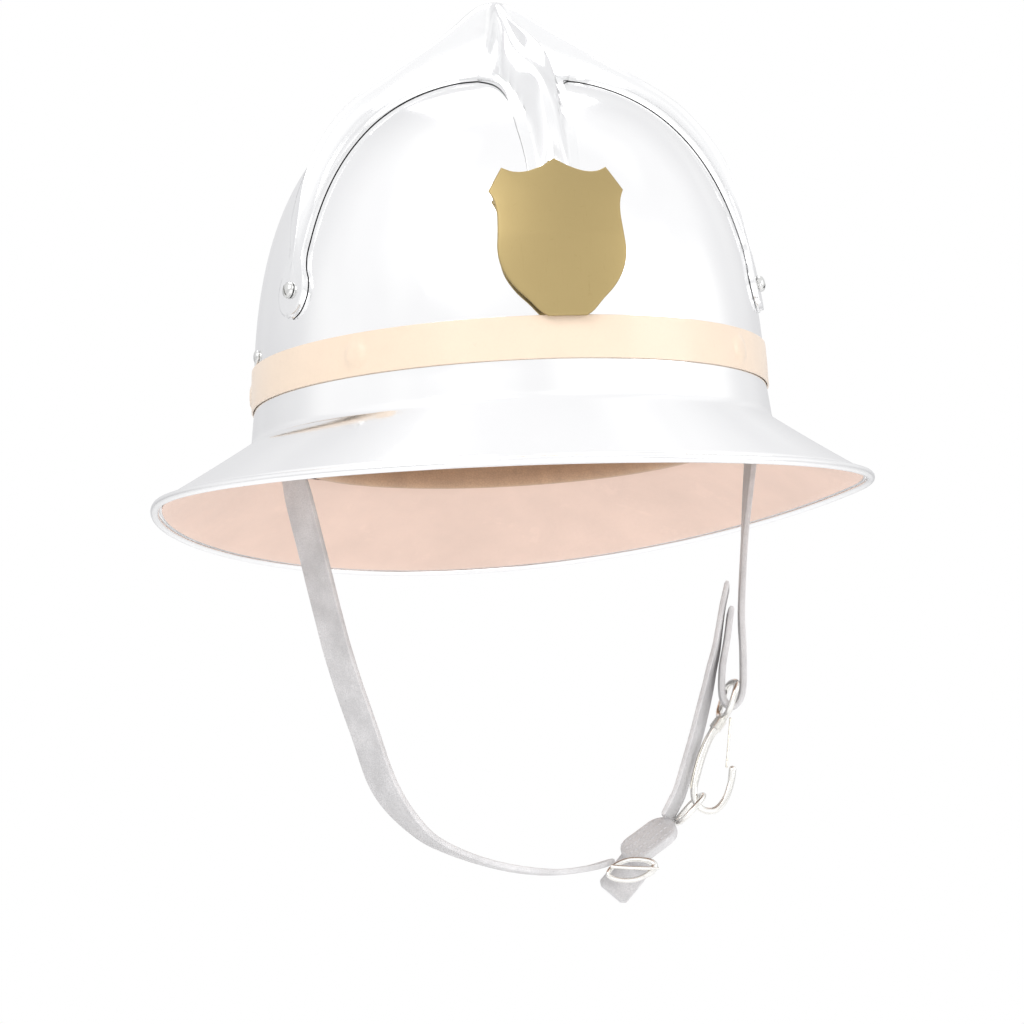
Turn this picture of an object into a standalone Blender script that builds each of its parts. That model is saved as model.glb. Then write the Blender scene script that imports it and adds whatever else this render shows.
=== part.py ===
"""Firefighter helmet: pressed aluminium shell with a four-armed crest,
a front badge, a tape band, a leather lining set and a two-piece chin strap
with a snap hook.

Units are metres, +Z is up, the wearer faces -Y.  The origin is the centre
of the dome at the height of the crease between dome and brim.
"""
import math

import bmesh
import bpy
from mathutils import Matrix, Vector

MM = 0.001

# ---------------------------------------------------------------- dimensions
DOME_A = 103.1 * MM        # half width of the dome at its foot
DOME_BF = 120.9 * MM       # reach of the dome to the front
DOME_BR = 126.1 * MM       # reach of the dome to the rear
DOME_H = 141.5 * MM        # height of the dome above the crease
DOME_P = 2.5               # section law: k = (1 - (z/H)^P)^(1/Q)
DOME_Q = 3.0
FOOT_Z = 14.1 * MM         # below this height the wall flares outwards
FOOT_FLARE = 1.6 * MM
SHELL_T = 1.2 * MM

RIM_X = 146.0 * MM         # outside of the rolled edge, to the side
RIM_F = 144.3 * MM         # to the front
RIM_R = 192.1 * MM         # to the rear
RIM_Z_SIDE = -24.1 * MM
RIM_Z_FRONT = -27.7 * MM
RIM_Z_REAR = -36.4 * MM
BEAD_R = 1.75 * MM
SEG = 40                   # facets round the helmet

BAND_Z0 = 14.3 * MM
BAND_Z1 = 30.9 * MM
BAND_T = 0.8 * MM
BAND_OFF = 1.4 * MM

CREST_EDGE = 2.0 * MM      # thickness of the crest's flange
CREST_WALL = 3.6 * MM
GAP = 0.5 * MM

SCREW_POS = ((-92.4, -45.0, 53.5), (92.4, -45.0, 53.5), (0.0, 122.0, 53.5))
EAR_R = 10.5 * MM

SWEAT = (80.0 * MM, 100.0 * MM, 102.0 * MM)   # inner half axes: side, front, rear
SWEAT_T = 1.8 * MM
CRADLE_OFF = 3.3 * MM
CRADLE_T = 1.2 * MM
HOOP_OFF = 4.8 * MM
HOOP_T = 1.4 * MM
PAD_Z0 = 75.0 * MM
PAD_Z1 = 80.0 * MM
PAD_R = 36.0 * MM

RIVET_Z = 22.5 * MM
RIVET_ANG = (-43.0, -137.0, 14.0, 166.0, 58.0, 122.0)  # degrees round the shell

ANCHOR = Vector((102.1 * MM, -2.0 * MM, 34.0 * MM))
STRAP_W = 14.5 * MM
STRAP_T = 2.3 * MM

# ---------------------------------------------------------------- scene
for old in list(bpy.data.objects):
    bpy.data.objects.remove(old, do_unlink=True)

helmet = bpy.data.collections.new("firefighter_helmet")
cutters = bpy.data.collections.new("cutters")
bpy.context.scene.collection.children.link(helmet)
bpy.context.scene.collection.children.link(cutters)


def material(name, rgb, metallic, roughness):
    m = bpy.data.materials.new(name)
    m.use_nodes = True
    b = m.node_tree.nodes["Principled BSDF"]
    b.inputs["Base Color"].default_value = (rgb[0], rgb[1], rgb[2], 1.0)
    b.inputs["Metallic"].default_value = metallic
    b.inputs["Roughness"].default_value = roughness
    return m


ALU = (0.90, 0.91, 0.92)
BRASS = (0.49, 0.37, 0.14)
STEEL = (0.72, 0.72, 0.70)
LEATHER = (0.30, 0.28, 0.32)
TAN = (0.62, 0.42, 0.28)


def new_object(name, mesh, mat, smooth_deg=35.0):
    obj = bpy.data.objects.new(name, mesh)
    helmet.objects.link(obj)
    mesh.materials.clear()
    mesh.materials.append(material(name, *mat))
    mesh.shade_smooth()
    mesh.set_sharp_from_angle(angle=math.radians(smooth_deg))
    return obj


def mesh_from_bm(name, bm, merge=0.0):
    if merge:
        bmesh.ops.remove_doubles(bm, verts=bm.verts, dist=merge)
    bmesh.ops.recalc_face_normals(bm, faces=bm.faces)
    mesh = bpy.data.meshes.new(name)
    bm.to_mesh(mesh)
    bm.free()
    mesh.update()
    return mesh


def loft(name, sections, wrap=False):
    """Skin closed sections of equal length; wrap joins the last to the first,
    otherwise both ends are capped."""
    bm = bmesh.new()
    rows = [[bm.verts.new(p) for p in s] for s in sections]
    n = len(rows[0])
    count = len(rows) if wrap else len(rows) - 1
    for i in range(count):
        a, b = rows[i], rows[(i + 1) % len(rows)]
        for j in range(n):
            k = (j + 1) % n
            bm.faces.new((a[j], a[k], b[k], b[j]))
    if not wrap:
        bm.faces.new(rows[0])
        bm.faces.new(list(reversed(rows[-1])))
    return mesh_from_bm(name, bm)


def apply_modifiers(obj):
    """Replace the object's mesh by its evaluated mesh."""
    dep = bpy.context.evaluated_depsgraph_get()
    dep.update()
    mesh = bpy.data.meshes.new_from_object(obj.evaluated_get(dep))
    obj.modifiers.clear()
    obj.data = mesh


def boolean(obj, other, operation="DIFFERENCE"):
    m = obj.modifiers.new(operation.lower(), "BOOLEAN")
    m.operation = operation
    m.object = other
    m.solver = "EXACT"
    return m


def as_cutter(obj):
    for c in list(obj.users_collection):
        c.objects.unlink(obj)
    cutters.objects.link(obj)
    obj.hide_render = True
    obj.display_type = "WIRE"
    return obj


def frame_to(origin, zdir, xhint=None):
    """World matrix with its Z axis along zdir."""
    z = Vector(zdir).normalized()
    h = Vector(xhint) if xhint is not None else (Vector((0, 0, 1)) if abs(z.z) < 0.9 else Vector((0, 1, 0)))
    x = (h - z * h.dot(z)).normalized()
    y = z.cross(x)
    m = Matrix((x, y, z)).transposed().to_4x4()
    m.translation = Vector(origin)
    return m


def drill(name, holes, sides=16):
    """One cutter made of cylinders: (centre, direction, radius, length)."""
    bm = bmesh.new()
    for centre, direction, radius, length in holes:
        bmesh.ops.create_cone(bm, cap_ends=True, segments=sides, radius1=radius,
                              radius2=radius, depth=length,
                              matrix=frame_to(centre, direction))
    mesh = mesh_from_bm(name, bm)
    obj = bpy.data.objects.new(name, mesh)
    cutters.objects.link(obj)
    obj.hide_render = True
    obj.display_type = "WIRE"
    return obj


def turned(name, profile, origin, zdir, mat, steps=16):
    """Solid of revolution: profile of (radius, height), top to bottom, on the axis."""
    bm = bmesh.new()
    vs = [bm.verts.new((r, 0.0, z)) for r, z in profile]
    for a, b in zip(vs, vs[1:]):
        bm.edges.new((a, b))
    mesh = bpy.data.meshes.new(name)
    bm.to_mesh(mesh)
    bm.free()
    obj = new_object(name, mesh, mat)
    obj.matrix_world = frame_to(origin, zdir)
    m = obj.modifiers.new("turn", "SCREW")
    m.steps = steps
    m.render_steps = steps
    m.use_merge_vertices = True
    m.merge_threshold = 0.00001
    m.use_smooth_shade = True
    return obj


def ring_profile(name, profile, origin, zdir, mat, steps=16):
    """Turned ring: a closed profile away from the axis."""
    obj = turned(name, list(profile) + [profile[0]], origin, zdir, mat, steps)
    return obj


def catmull(points, per=6):
    """Points on a Catmull-Rom curve through the given points."""
    pts = [Vector(p) for p in points]
    ext = [pts[0] * 2 - pts[1]] + pts + [pts[-1] * 2 - pts[-2]]
    out = []
    for i in range(1, len(ext) - 2):
        p0, p1, p2, p3 = ext[i - 1:i + 3]
        for s in range(per):
            t = s / per
            out.append(0.5 * ((2 * p1) + (p2 - p0) * t + (2 * p0 - 5 * p1 + 4 * p2 - p3) * t * t
                              + (3 * p1 - p0 - 3 * p2 + p3) * t ** 3))
    out.append(pts[-1])
    return out


def mm(points):
    return [Vector(p) * MM for p in points]


def resample(points, count):
    """Points spaced evenly along a polyline."""
    acc = [0.0]
    for a, b in zip(points, points[1:]):
        acc.append(acc[-1] + (b - a).length)
    out = []
    j = 0
    for i in range(count):
        d = acc[-1] * i / (count - 1)
        while j < len(points) - 2 and acc[j + 1] < d:
            j += 1
        t = (d - acc[j]) / max(acc[j + 1] - acc[j], 1e-12)
        out.append(points[j].lerp(points[j + 1], min(max(t, 0.0), 1.0)))
    return out


def tangents(points, closed=False):
    n = len(points)
    out = []
    for i in range(n):
        a = points[(i - 1) % n] if (closed or i > 0) else points[0]
        b = points[(i + 1) % n] if (closed or i < n - 1) else points[-1]
        out.append((b - a).normalized())
    return out


def ribbon(name, points, wide, mat, width=STRAP_W, thick=STRAP_T):
    """Flat strap along a centre line; wide gives the width direction per point."""
    tg = tangents(points)
    secs = []
    for p, t, w in zip(points, tg, wide):
        w = (w - t * w.dot(t)).normalized()
        n = t.cross(w)
        hw, ht = w * (width / 2), n * (thick / 2)
        secs.append([p - hw - ht, p + hw - ht, p + hw + ht, p - hw + ht])
    return new_object(name, loft(name, secs), mat, 50)


def tube(name, points, radius, mat, sides=8, closed=False, hint=Vector((0, 1, 0)), flat=1.0):
    """Round wire along a line lying roughly square to the hint direction."""
    tg = tangents(points, closed)
    secs = []
    for i, (p, t) in enumerate(zip(points, tg)):
        r = radius[i] if isinstance(radius, (list, tuple)) else radius
        u = (hint - t * hint.dot(t)).normalized()
        v = t.cross(u)
        secs.append([p + u * (r * flat * math.cos(2 * math.pi * k / sides))
                     + v * (r * math.sin(2 * math.pi * k / sides)) for k in range(sides)])
    return new_object(name, loft(name, secs, wrap=closed), mat, 60)


# ---------------------------------------------------------------- shell form
def half_oval(a, bf, br, ang):
    s = math.sin(ang)
    return a * math.cos(ang), (bf if s < 0 else br) * s


def dome_k(z):
    return max(0.0, 1.0 - (max(z, 0.0) / DOME_H) ** DOME_P) ** (1.0 / DOME_Q)


def dome_point(ang, z, off=0.0):
    """Point on the dome wall at a height, moved outwards by off."""
    k = dome_k(z)
    f = FOOT_FLARE * max(0.0, 1.0 - z / FOOT_Z) + off
    x, y = half_oval(DOME_A * k + f, DOME_BF * k + f, DOME_BR * k + f, ang)
    return Vector((x, y, z))


def dome_level(p):
    b = DOME_BF if p.y < 0 else DOME_BR
    r = math.sqrt((p.x / DOME_A) ** 2 + (p.y / b) ** 2)
    return r ** DOME_Q + (max(p.z, 0.0) / DOME_H) ** DOME_P


def on_dome(p):
    """The dome point on the ray from the origin through p."""
    lo, hi = 0.2, 4.0
    for _ in range(50):
        mid = 0.5 * (lo + hi)
        if dome_level(p * mid) > 1.0:
            hi = mid
        else:
            lo = mid
    return p * lo


def dome_normal(p):
    e = 0.2 * MM
    g = Vector((dome_level(p + Vector((e, 0, 0))) - dome_level(p - Vector((e, 0, 0))),
                dome_level(p + Vector((0, e, 0))) - dome_level(p - Vector((0, e, 0))),
                dome_level(p + Vector((0, 0, e))) - dome_level(p - Vector((0, 0, e)))))
    return g.normalized()


def rim_z(ang):
    s = math.sin(ang)
    end = RIM_Z_FRONT if s < 0 else RIM_Z_REAR
    return RIM_Z_SIDE + (end - RIM_Z_SIDE) * abs(s) ** 1.7


def brim_point(ang, s):
    """Upper brim surface: s = 0 at the crease, 1 at the outside of the rim."""
    c = dome_point(ang, 0.0)
    x, y = half_oval(RIM_X, RIM_F, RIM_R, ang)
    return Vector((c.x + (x - c.x) * s, c.y + (y - c.y) * s, rim_z(ang) * (1.06 * s - 0.06 * s * s)))


def brim_normal(ang, s):
    da = brim_point(ang + 0.01, s) - brim_point(ang - 0.01, s)
    ds = brim_point(ang, s + 0.01) - brim_point(ang, s - 0.01)
    n = da.cross(ds).normalized()
    return n if n.z > 0 else -n


def brim_length(ang):
    return (brim_point(ang, 1.0) - brim_point(ang, 0.0)).length


ANGLES = [2 * math.pi * i / SEG for i in range(SEG)]


def dome_heights(count):
    """Heights spaced evenly along the dome's side profile."""
    line = []
    for i in range(400):
        t = math.pi / 2 * i / 399
        z = DOME_H * math.sin(t) ** (2 / DOME_P)
        line.append(Vector((DOME_A * dome_k(z), 0, z)))
    line[-1] = Vector((0, 0, DOME_H))
    line = [p for p in line if p.z >= FOOT_Z]
    return [p.z for p in resample(line, count)]


def build_shell():
    heights = list(reversed(dome_heights(13)))      # crown first
    heights[-1] = FOOT_Z
    bm = bmesh.new()
    pole = bm.verts.new((0, 0, DOME_H))
    rows = []
    for z in heights[1:]:
        rows.append([bm.verts.new(dome_point(a, z)) for a in ANGLES])
    rows.append([bm.verts.new(dome_point(a, 0.4 * FOOT_Z)) for a in ANGLES])
    rows.append([bm.verts.new(dome_point(a, 0.0)) for a in ANGLES])
    for f in (0.2, 0.45, 0.72, 1.0):
        rows.append([bm.verts.new(brim_point(a, f * (1 - 3.9 * MM / brim_length(a)))) for a in ANGLES])
    for j in range(SEG):
        bm.faces.new((pole, rows[0][j], rows[0][(j + 1) % SEG]))
    for a, b in zip(rows, rows[1:]):
        for j in range(SEG):
            k = (j + 1) % SEG
            bm.faces.new((a[j], b[j], b[k], a[k]))
    mesh = mesh_from_bm("shell", bm)
    obj = new_object("shell", mesh, (ALU, 1.0, 0.16))
    m = obj.modifiers.new("wall", "SOLIDIFY")
    m.thickness = SHELL_T
    m.offset = -1.0
    m.use_even_offset = True
    return obj


shell = build_shell()


def build_bead():
    secs = []
    for i in range(56):
        a = 2 * math.pi * i / 56
        c = brim_point(a, 1 - BEAD_R / brim_length(a))
        n = brim_normal(a, 0.95)
        c = c - n * (SHELL_T / 2)
        out = (brim_point(a, 1.0) - brim_point(a, 0.95)).normalized()
        secs.append([c + out * (BEAD_R * math.cos(2 * math.pi * k / 6))
                     + n * (BEAD_R * math.sin(2 * math.pi * k / 6)) for k in range(6)])
    return new_object("edge_bead", loft("edge_bead", secs, wrap=True), (ALU, 1.0, 0.22), 60)


build_bead()


def build_brim_lining():
    secs = []
    for a in ANGLES:
        length = brim_length(a)
        top, bottom = [], []
        for f in (0.0, 0.5, 1.0):
            s = 0.14 + f * (1 - 6.0 * MM / length - 0.14)
            p, n = brim_point(a, s), brim_normal(a, s)
            top.append(p - n * (SHELL_T + 0.4 * MM))
            bottom.append(p - n * (SHELL_T + 1.3 * MM))
        secs.append(top + list(reversed(bottom)))
    return new_object("brim_lining", loft("brim_lining", secs, wrap=True), ((0.80, 0.56, 0.44), 0.0, 0.6))


build_brim_lining()


def oval_band(name, levels, off, thick, mat, seg=SEG):
    """Band standing on the dome wall: outside offset off to off + thick."""
    secs = []
    for i in range(seg):
        a = 2 * math.pi * i / seg
        inner = [dome_point(a, z, off) for z in levels]
        outer = [dome_point(a, z, off + thick) for z in levels]
        secs.append(inner + list(reversed(outer)))
    return new_object(name, loft(name, secs, wrap=True), mat)


oval_band("tape_band", (BAND_Z0, BAND_Z1), BAND_OFF, BAND_T,
          ((0.95, 0.80, 0.66), 0.0, 0.45))


# ---------------------------------------------------------------- crest
def pick(points, count):
    return resample(catmull([Vector(p) * MM for p in points], 10), count)


N_ARM = 13
RIDGE_SIDE = [(0, -3.5, 179.2), (4.6, -5, 178.3), (9.5, -7.8, 174.6), (17, -12.5, 167.5), (32, -23, 155), (52, -33, 141), (66, -36, 131),
              (75, -38.5, 121), (82, -41, 110), (87, -43, 98), (90.2, -44, 82), (92.5, -44.6, 68),
              (94.6, -45, 56), (96.2, -44.2, 43.5)]
RIDGE_FRONT = [(0, -3.5, 179.2), (0, -8.4, 178.2), (0, -13.6, 175), (0, -22, 168.3), (0, -41, 155.5), (0, -61, 144.5),
               (0, -81, 134.5), (0, -94, 126), (0, -102.5, 115.5), (0, -106.8, 106), (0, -108.3, 100),
               (0, -107.4, 95), (0, -108.5, 90), (0, -112.2, 82), (0, -116, 70)]
RIDGE_REAR = [(0, -3.5, 179.2), (0, 1.4, 178.2), (0, 6.6, 175), (0, 17, 168.3), (0, 38, 157), (0, 62, 144), (0, 84, 131),
              (0, 102, 114), (0, 113, 97), (0, 119.5, 80), (0, 122.5, 66), (0, 124.8, 54), (0, 126, 43)]
EDGE_SIDE_FRONT = [(18.5, -56, 135), (26, -51.5, 135), (39.6, -50, 130), (55.9, -50, 121), (66.2, -50, 111),
                   (73.4, -50, 102), (79.1, -50, 92), (83.3, -50, 82), (86.3, -50, 73), (88.3, -51, 63.5),
                   (88, -55, 57), (88.5, -55.5, 50), (91, -51, 44.8), (94.3, -44.2, 43)]
EDGE_SIDE_REAR = [(19, 14, 138), (27, 8.5, 136), (40, 2, 131), (55, -7, 121), (68, -16, 107), (78, -24, 91),
                  (84.5, -31, 77), (89.5, -38.5, 64), (94, -35.5, 57), (95.5, -34.6, 50), (95.6, -39, 44.5),
                  (94.3, -44.2, 43)]
EDGE_FRONT = [(18.5, -56, 135), (13.8, -66, 130), (11.8, -76, 124), (11.3, -86, 117), (11.2, -94, 109),
              (10.4, -100, 99), (10, -105, 90.5), (9.8, -109, 82), (7.5, -112, 74), (0, -114, 70)]
EDGE_REAR = [(19, 14, 138), (14, 26, 138), (11.8, 42, 135), (11.2, 62, 128), (10.8, 84, 116), (9.5, 102, 99),
             (8.2, 113, 80), (8.2, 118, 66), (10.3, 121, 57), (9.8, 122.5, 49), (6, 124, 44.5), (0, 124.5, 43)]
T_STOPS = (0.0, 0.07, 0.18, 0.34, 0.55, 0.78, 1.0)


def smooth(a, b, x):
    t = min(max((x - a) / (b - a), 0.0), 1.0)
    return t * t * (3 - 2 * t)


def crest_patch(ridge_pts, edge_pts, full=0.0):
    """Rows of top points from the ridge to the outline of one half arm; full rounds the arm out to its flange."""
    ridge = pick(ridge_pts, N_ARM)
    edge = [on_dome(p) for p in pick(edge_pts, N_ARM)]
    ridge[-1] = edge[-1] + dome_normal(edge[-1]) * (GAP + CREST_EDGE)
    rows = []
    for i, (r, o) in enumerate(zip(ridge, edge)):
        d = on_dome(r)
        nd, no = dome_normal(d), dome_normal(o)
        lift = (r - d).length
        flange = GAP + CREST_EDGE
        if lift < flange:
            r = d + (r - d).normalized() * flange
            lift = flange
        o_top = o + no * flange
        side = (o - d)
        side = side.normalized() if side.length > 1e-6 else Vector((0, 0, 0))
        upd = (r - d).normalized()
        f = min(1.0, max(0.0, (lift - flange) / (8 * MM)))
        blunt = max(0.0, 1.0 - i / 3)
        start = r + side * ((2.6 + 3.2 * blunt) * MM * f) - upd * ((1.8 + 2.0 * blunt) * MM * f)
        ctrl = (d + nd * flange).lerp(o_top, 0.34)
        ctrl = on_dome(ctrl)
        ctrl = ctrl + dome_normal(ctrl) * flange
        row = []
        for t in T_STOPS:
            if t == 0.0:
                p = r.copy()
            elif t == T_STOPS[1]:
                p = r + side * ((1.5 + 1.6 * blunt) * MM * f) - upd * ((0.45 + 0.4 * blunt) * MM * f)
                if f < 0.05:
                    p = r.lerp(o_top, t)
            else:
                u = (t - T_STOPS[2]) / (1 - T_STOPS[2])
                p = (1 - u) ** 2 * start + 2 * u * (1 - u) * ctrl + u * u * o_top
                if f < 0.05:
                    p = r.lerp(o_top, t)
            round_out = full * smooth(0.0, 0.13, i / (N_ARM - 1))
            if round_out > 0.0 and t > 0.0:
                # rounded section: stays high and falls steeply to a narrow flange
                foot = on_dome(d.lerp(o, t))
                wide = max((o - d).length, 4.4 * MM)
                shelf = min(1.0 - 2.2 * MM / wide, (14.0 - 9.0 * i / (N_ARM - 1)) * MM / wide)
                rise = max(0.0, 1.0 - (t / shelf) ** 2.2) ** 0.7
                full_p = foot + upd.lerp(dome_normal(foot), t).normalized() * (flange + (lift - flange) * rise)
                p = p.lerp(full_p, round_out)
            b = on_dome(p)
            if (p - b).length < flange:
                p = b + dome_normal(b) * flange
            row.append(p)
        rows.append(row)
    last = rows[-1][0]
    rows[-1] = [last.copy() for _ in T_STOPS]
    return rows


def crest_under(p, t):
    """Point of the crest's hollow underside below p; only its edge sits on the dome."""
    b = on_dome(p)
    n = dome_normal(b)
    lift = (p - b).length
    clear = GAP if t == 1.0 else (1.3 if t > 0.7 else 1.5) * MM
    return b + n * clear + (p - b).normalized() * max(0.0, lift - CREST_WALL - 1.0 * MM)


def build_crest():
    bm = bmesh.new()
    for ridge, edge in ((RIDGE_SIDE, EDGE_SIDE_FRONT), (RIDGE_SIDE, EDGE_SIDE_REAR),
                        (RIDGE_FRONT, EDGE_FRONT), (RIDGE_REAR, EDGE_REAR)):
        rows = crest_patch(ridge, edge, 1.0 if ridge is RIDGE_FRONT else 0.0)
        for sx in (1.0, -1.0):
            top = [[bm.verts.new((p.x * sx, p.y, p.z)) for p in row] for row in rows]
            low = []
            for row in rows:
                low.append([bm.verts.new((q.x * sx, q.y, q.z))
                            for q in (crest_under(p, t) for p, t in zip(row, T_STOPS))])
            for grid in (top, low):
                for i in range(len(grid) - 1):
                    for j in range(len(T_STOPS) - 1):
                        bm.faces.new((grid[i][j], grid[i + 1][j], grid[i + 1][j + 1], grid[i][j + 1]))
            for i in range(len(rows) - 1):
                bm.faces.new((top[i][-1], top[i + 1][-1], low[i + 1][-1], low[i][-1]))
    bmesh.ops.remove_doubles(bm, verts=bm.verts, dist=0.02 * MM)
    bmesh.ops.dissolve_degenerate(bm, edges=bm.edges, dist=0.01 * MM)
    loose = [e for e in bm.edges if not e.link_faces]
    bmesh.ops.delete(bm, geom=loose, context="EDGES")
    mesh = mesh_from_bm("crest", bm)
    return new_object("crest", mesh, (ALU, 1.0, 0.25), 40)


crest = build_crest()

# ---------------------------------------------------------------- screws of the crest
shell_holes, crest_holes = [], []
for name, pos in zip(("right", "left", "rear"), SCREW_POS):
    foot = on_dome(Vector(pos) * MM)
    n = dome_normal(foot)
    shell_holes.append((foot, n, 2.2 * MM, 14 * MM))
    crest_holes.append((foot, n, 2.2 * MM, 14 * MM))
    seat = GAP + CREST_EDGE + 0.45 * MM
    turned("crest_screw_" + name,
           [(0, seat + 2.4 * MM), (1.6 * MM, seat + 2.2 * MM), (2.8 * MM, seat + 1.4 * MM), (3.4 * MM, seat),
            (1.85 * MM, seat), (1.85 * MM, -6.2 * MM), (0, -6.2 * MM)],
           foot, n, (STEEL, 1.0, 0.3))
    bm = bmesh.new()
    bmesh.ops.create_cone(bm, cap_ends=True, segments=6, radius1=4.0 * MM, radius2=4.0 * MM, depth=3.0 * MM)
    nut = new_object("crest_nut_" + name, mesh_from_bm("crest_nut_" + name, bm), (STEEL, 1.0, 0.35), 30)
    nut.matrix_world = frame_to(foot - n * (SHELL_T + 2.1 * MM), n)
    boolean(nut, drill("nut_bore_" + name, [(foot, n, 2.1 * MM, 20 * MM)]))

# ---------------------------------------------------------------- badge
BADGE_CX = -0.6 * MM
# right half of the outline, from the top point down to the foot (x, z)
BADGE_HALF = [(0, 92.8), (5.5, 89.5), (11.5, 87.5), (16.5, 87.7), (20.3, 89.5), (26.2, 80.1), (24.6, 76.3),
              (23.9, 70.5), (24.4, 62.5), (24.9, 55.5), (23.4, 48.5), (19.5, 41.9), (14.0, 36.1), (10.2, 31.9),
              (7.4, 30.1)]


def badge_front_y(x, z):
    """Badge back surface: clear of the dome and of the crest's front foot."""
    p = Vector((x, 0, z))
    k = dome_k(z)
    y = -DOME_BF * math.sqrt(max(k * k - (x / DOME_A) ** 2, 0.0))
    rise = 2.7 * MM + 2.2 * MM * min(max((z - 36 * MM) / (26 * MM), 0.0), 1.0)
    return y - rise


def build_badge():
    left = [(-x, z) for x, z in reversed(BADGE_HALF[1:])]
    outline = [(x * MM + BADGE_CX, z * MM) for x, z in BADGE_HALF + left]
    cx, cz = BADGE_CX, 62 * MM
    rings = []
    for f in (1.0, 0.72, 0.4):
        rings.append([(cx + (x - cx) * f, cz + (z - cz) * f) for x, z in outline])
    bm = bmesh.new()
    layers = []
    for lay in range(2):
        rows = []
        for pts in rings:
            rows.append([bm.verts.new((x, badge_front_y(x, z) - lay * 1.2 * MM, z)) for x, z in pts])
        c = bm.verts.new((cx, badge_front_y(cx, cz) - lay * 1.2 * MM, cz))
        n = len(outline)
        for a, b in zip(rows, rows[1:]):
            for j in range(n):
                k = (j + 1) % n
                bm.faces.new((a[j], a[k], b[k], b[j]))
        for j in range(n):
            bm.faces.new((rows[-1][j], rows[-1][(j + 1) % n], c))
        layers.append(rows[0])
    n = len(outline)
    for j in range(n):
        k = (j + 1) % n
        bm.faces.new((layers[0][j], layers[1][j], layers[1][k], layers[0][k]))
    mesh = mesh_from_bm("badge", bm)
    obj = new_object("badge", mesh, (BRASS, 1.0, 0.35), 40)
    return obj


badge = build_badge()
badge_studs = []
for name, z in (("upper", 77 * MM), ("lower", 42 * MM)):
    foot = Vector((0, -DOME_BF * dome_k(z), z))
    n = dome_normal(foot)
    rise = 0.0018 + (3.2 * MM if name == "upper" else 1.8 * MM)
    shell_holes.append((foot, n, 2.0 * MM, 14 * MM))
    if name == "upper":
        crest_holes.append((foot, n, 2.2 * MM, 14 * MM))
    bm = bmesh.new()
    length = 7.0 * MM + rise
    bmesh.ops.create_cone(bm, cap_ends=True, segments=12, radius1=1.6 * MM, radius2=1.6 * MM, depth=length,
                          matrix=frame_to(foot + n * (rise - length / 2), n))
    stud = new_object("badge_stud_" + name, mesh_from_bm("badge_stud_" + name, bm), (BRASS, 1.0, 0.35))
    as_cutter(stud)
    boolean(badge, stud, "UNION")
    bm = bmesh.new()
    bmesh.ops.create_cone(bm, cap_ends=True, segments=6, radius1=3.6 * MM, radius2=3.6 * MM, depth=2.6 * MM)
    nut = new_object("badge_nut_" + name, mesh_from_bm("badge_nut_" + name, bm), (BRASS, 1.0, 0.4), 30)
    nut.matrix_world = frame_to(foot - n * (SHELL_T + 1.9 * MM), n)
    boolean(nut, drill("badge_nut_bore_" + name, [(foot, n, 1.85 * MM, 20 * MM)]))

boolean(crest, drill("crest_drill", crest_holes))


# ---------------------------------------------------------------- lining set
def lining_oval(off):
    return SWEAT[0] + off, SWEAT[1] + off, SWEAT[2] + off


def lining_point(ang, off, z):
    x, y = half_oval(*lining_oval(off), ang)
    return Vector((x, y, z))


def oval_ring(name, profile, mat, seg=SEG):
    secs = [[lining_point(2 * math.pi * i / seg, o * MM, z * MM) for o, z in profile] for i in range(seg)]
    return new_object(name, loft(name, secs, wrap=True), mat)


SWEAT_PROFILE = [(0, 30), (0, -4), (2.0, -8.6), (6.2, -8.6), (8.2, -4), (8.2, 11.5), (6.6, 11.5), (6.6, -3.3),
                 (5.4, -6.8), (2.8, -6.8), (1.8, -3.3), (1.8, 30)]
oval_ring("sweatband", SWEAT_PROFILE, (TAN, 0.0, 0.6))
hoop = oval_ring("liner_hoop", [(4.9, 2), (6.2, 2), (6.2, 32), (4.9, 32)], ((0.25, 0.24, 0.22), 0.0, 0.55))


def cradle_factor(i, rows):
    """Shape of the cradle: straight ring first, then a dome drawn in to the crown."""
    if i < 3:
        return 1.0, (11 + 10 * i) * MM
    th = math.radians(68.0) * (i - 2) / (rows - 3)
    return math.cos(th), (31 + 57 * math.sin(th)) * MM


def build_cradle():
    rows, seg = 9, 48
    off = CRADLE_OFF + CRADLE_T
    bm = bmesh.new()
    grid = []
    for i in range(rows):
        f, z = cradle_factor(i, rows)
        line = []
        for j in range(seg):
            a = 2 * math.pi * (j + 0.5) / seg
            x, y = half_oval(*lining_oval(off), a)
            line.append(bm.verts.new((x * f, y * f, z)))
        grid.append(line)
    for i in range(rows - 1):
        for j in range(seg):
            if i >= 3 and j % 6 == 5:
                continue
            k = (j + 1) % seg
            bm.faces.new((grid[i][j], grid[i][k], grid[i + 1][k], grid[i + 1][j]))
    for e in list(bm.edges):
        if not e.link_faces:
            bm.edges.remove(e)
    for v in list(bm.verts):
        if not v.link_faces:
            bm.verts.remove(v)
    mesh = bpy.data.meshes.new("crown_cradle")
    bm.to_mesh(mesh)
    bm.free()
    obj = new_object("crown_cradle", mesh, (TAN, 0.0, 0.65))
    m = obj.modifiers.new("leather", "SOLIDIFY")
    m.thickness = CRADLE_T
    m.offset = -1.0
    m.use_even_offset = True
    return obj


cradle = build_cradle()

# lace that draws the tongues together, lying on their tips
f_lace = 0.46
z_lace = 31 * MM + 57 * MM * math.sin(math.acos(f_lace)) + 1.9 * MM
lace = []
for i in range(36):
    a = 2 * math.pi * i / 36
    x, y = half_oval(*lining_oval(CRADLE_OFF + CRADLE_T), a)
    lace.append(Vector((x * f_lace, y * f_lace, z_lace)))
tube("crown_lace", lace, 1.2 * MM, ((0.75, 0.66, 0.55), 0.0, 0.8), 6, True, Vector((0, 0, 1)))

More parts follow.
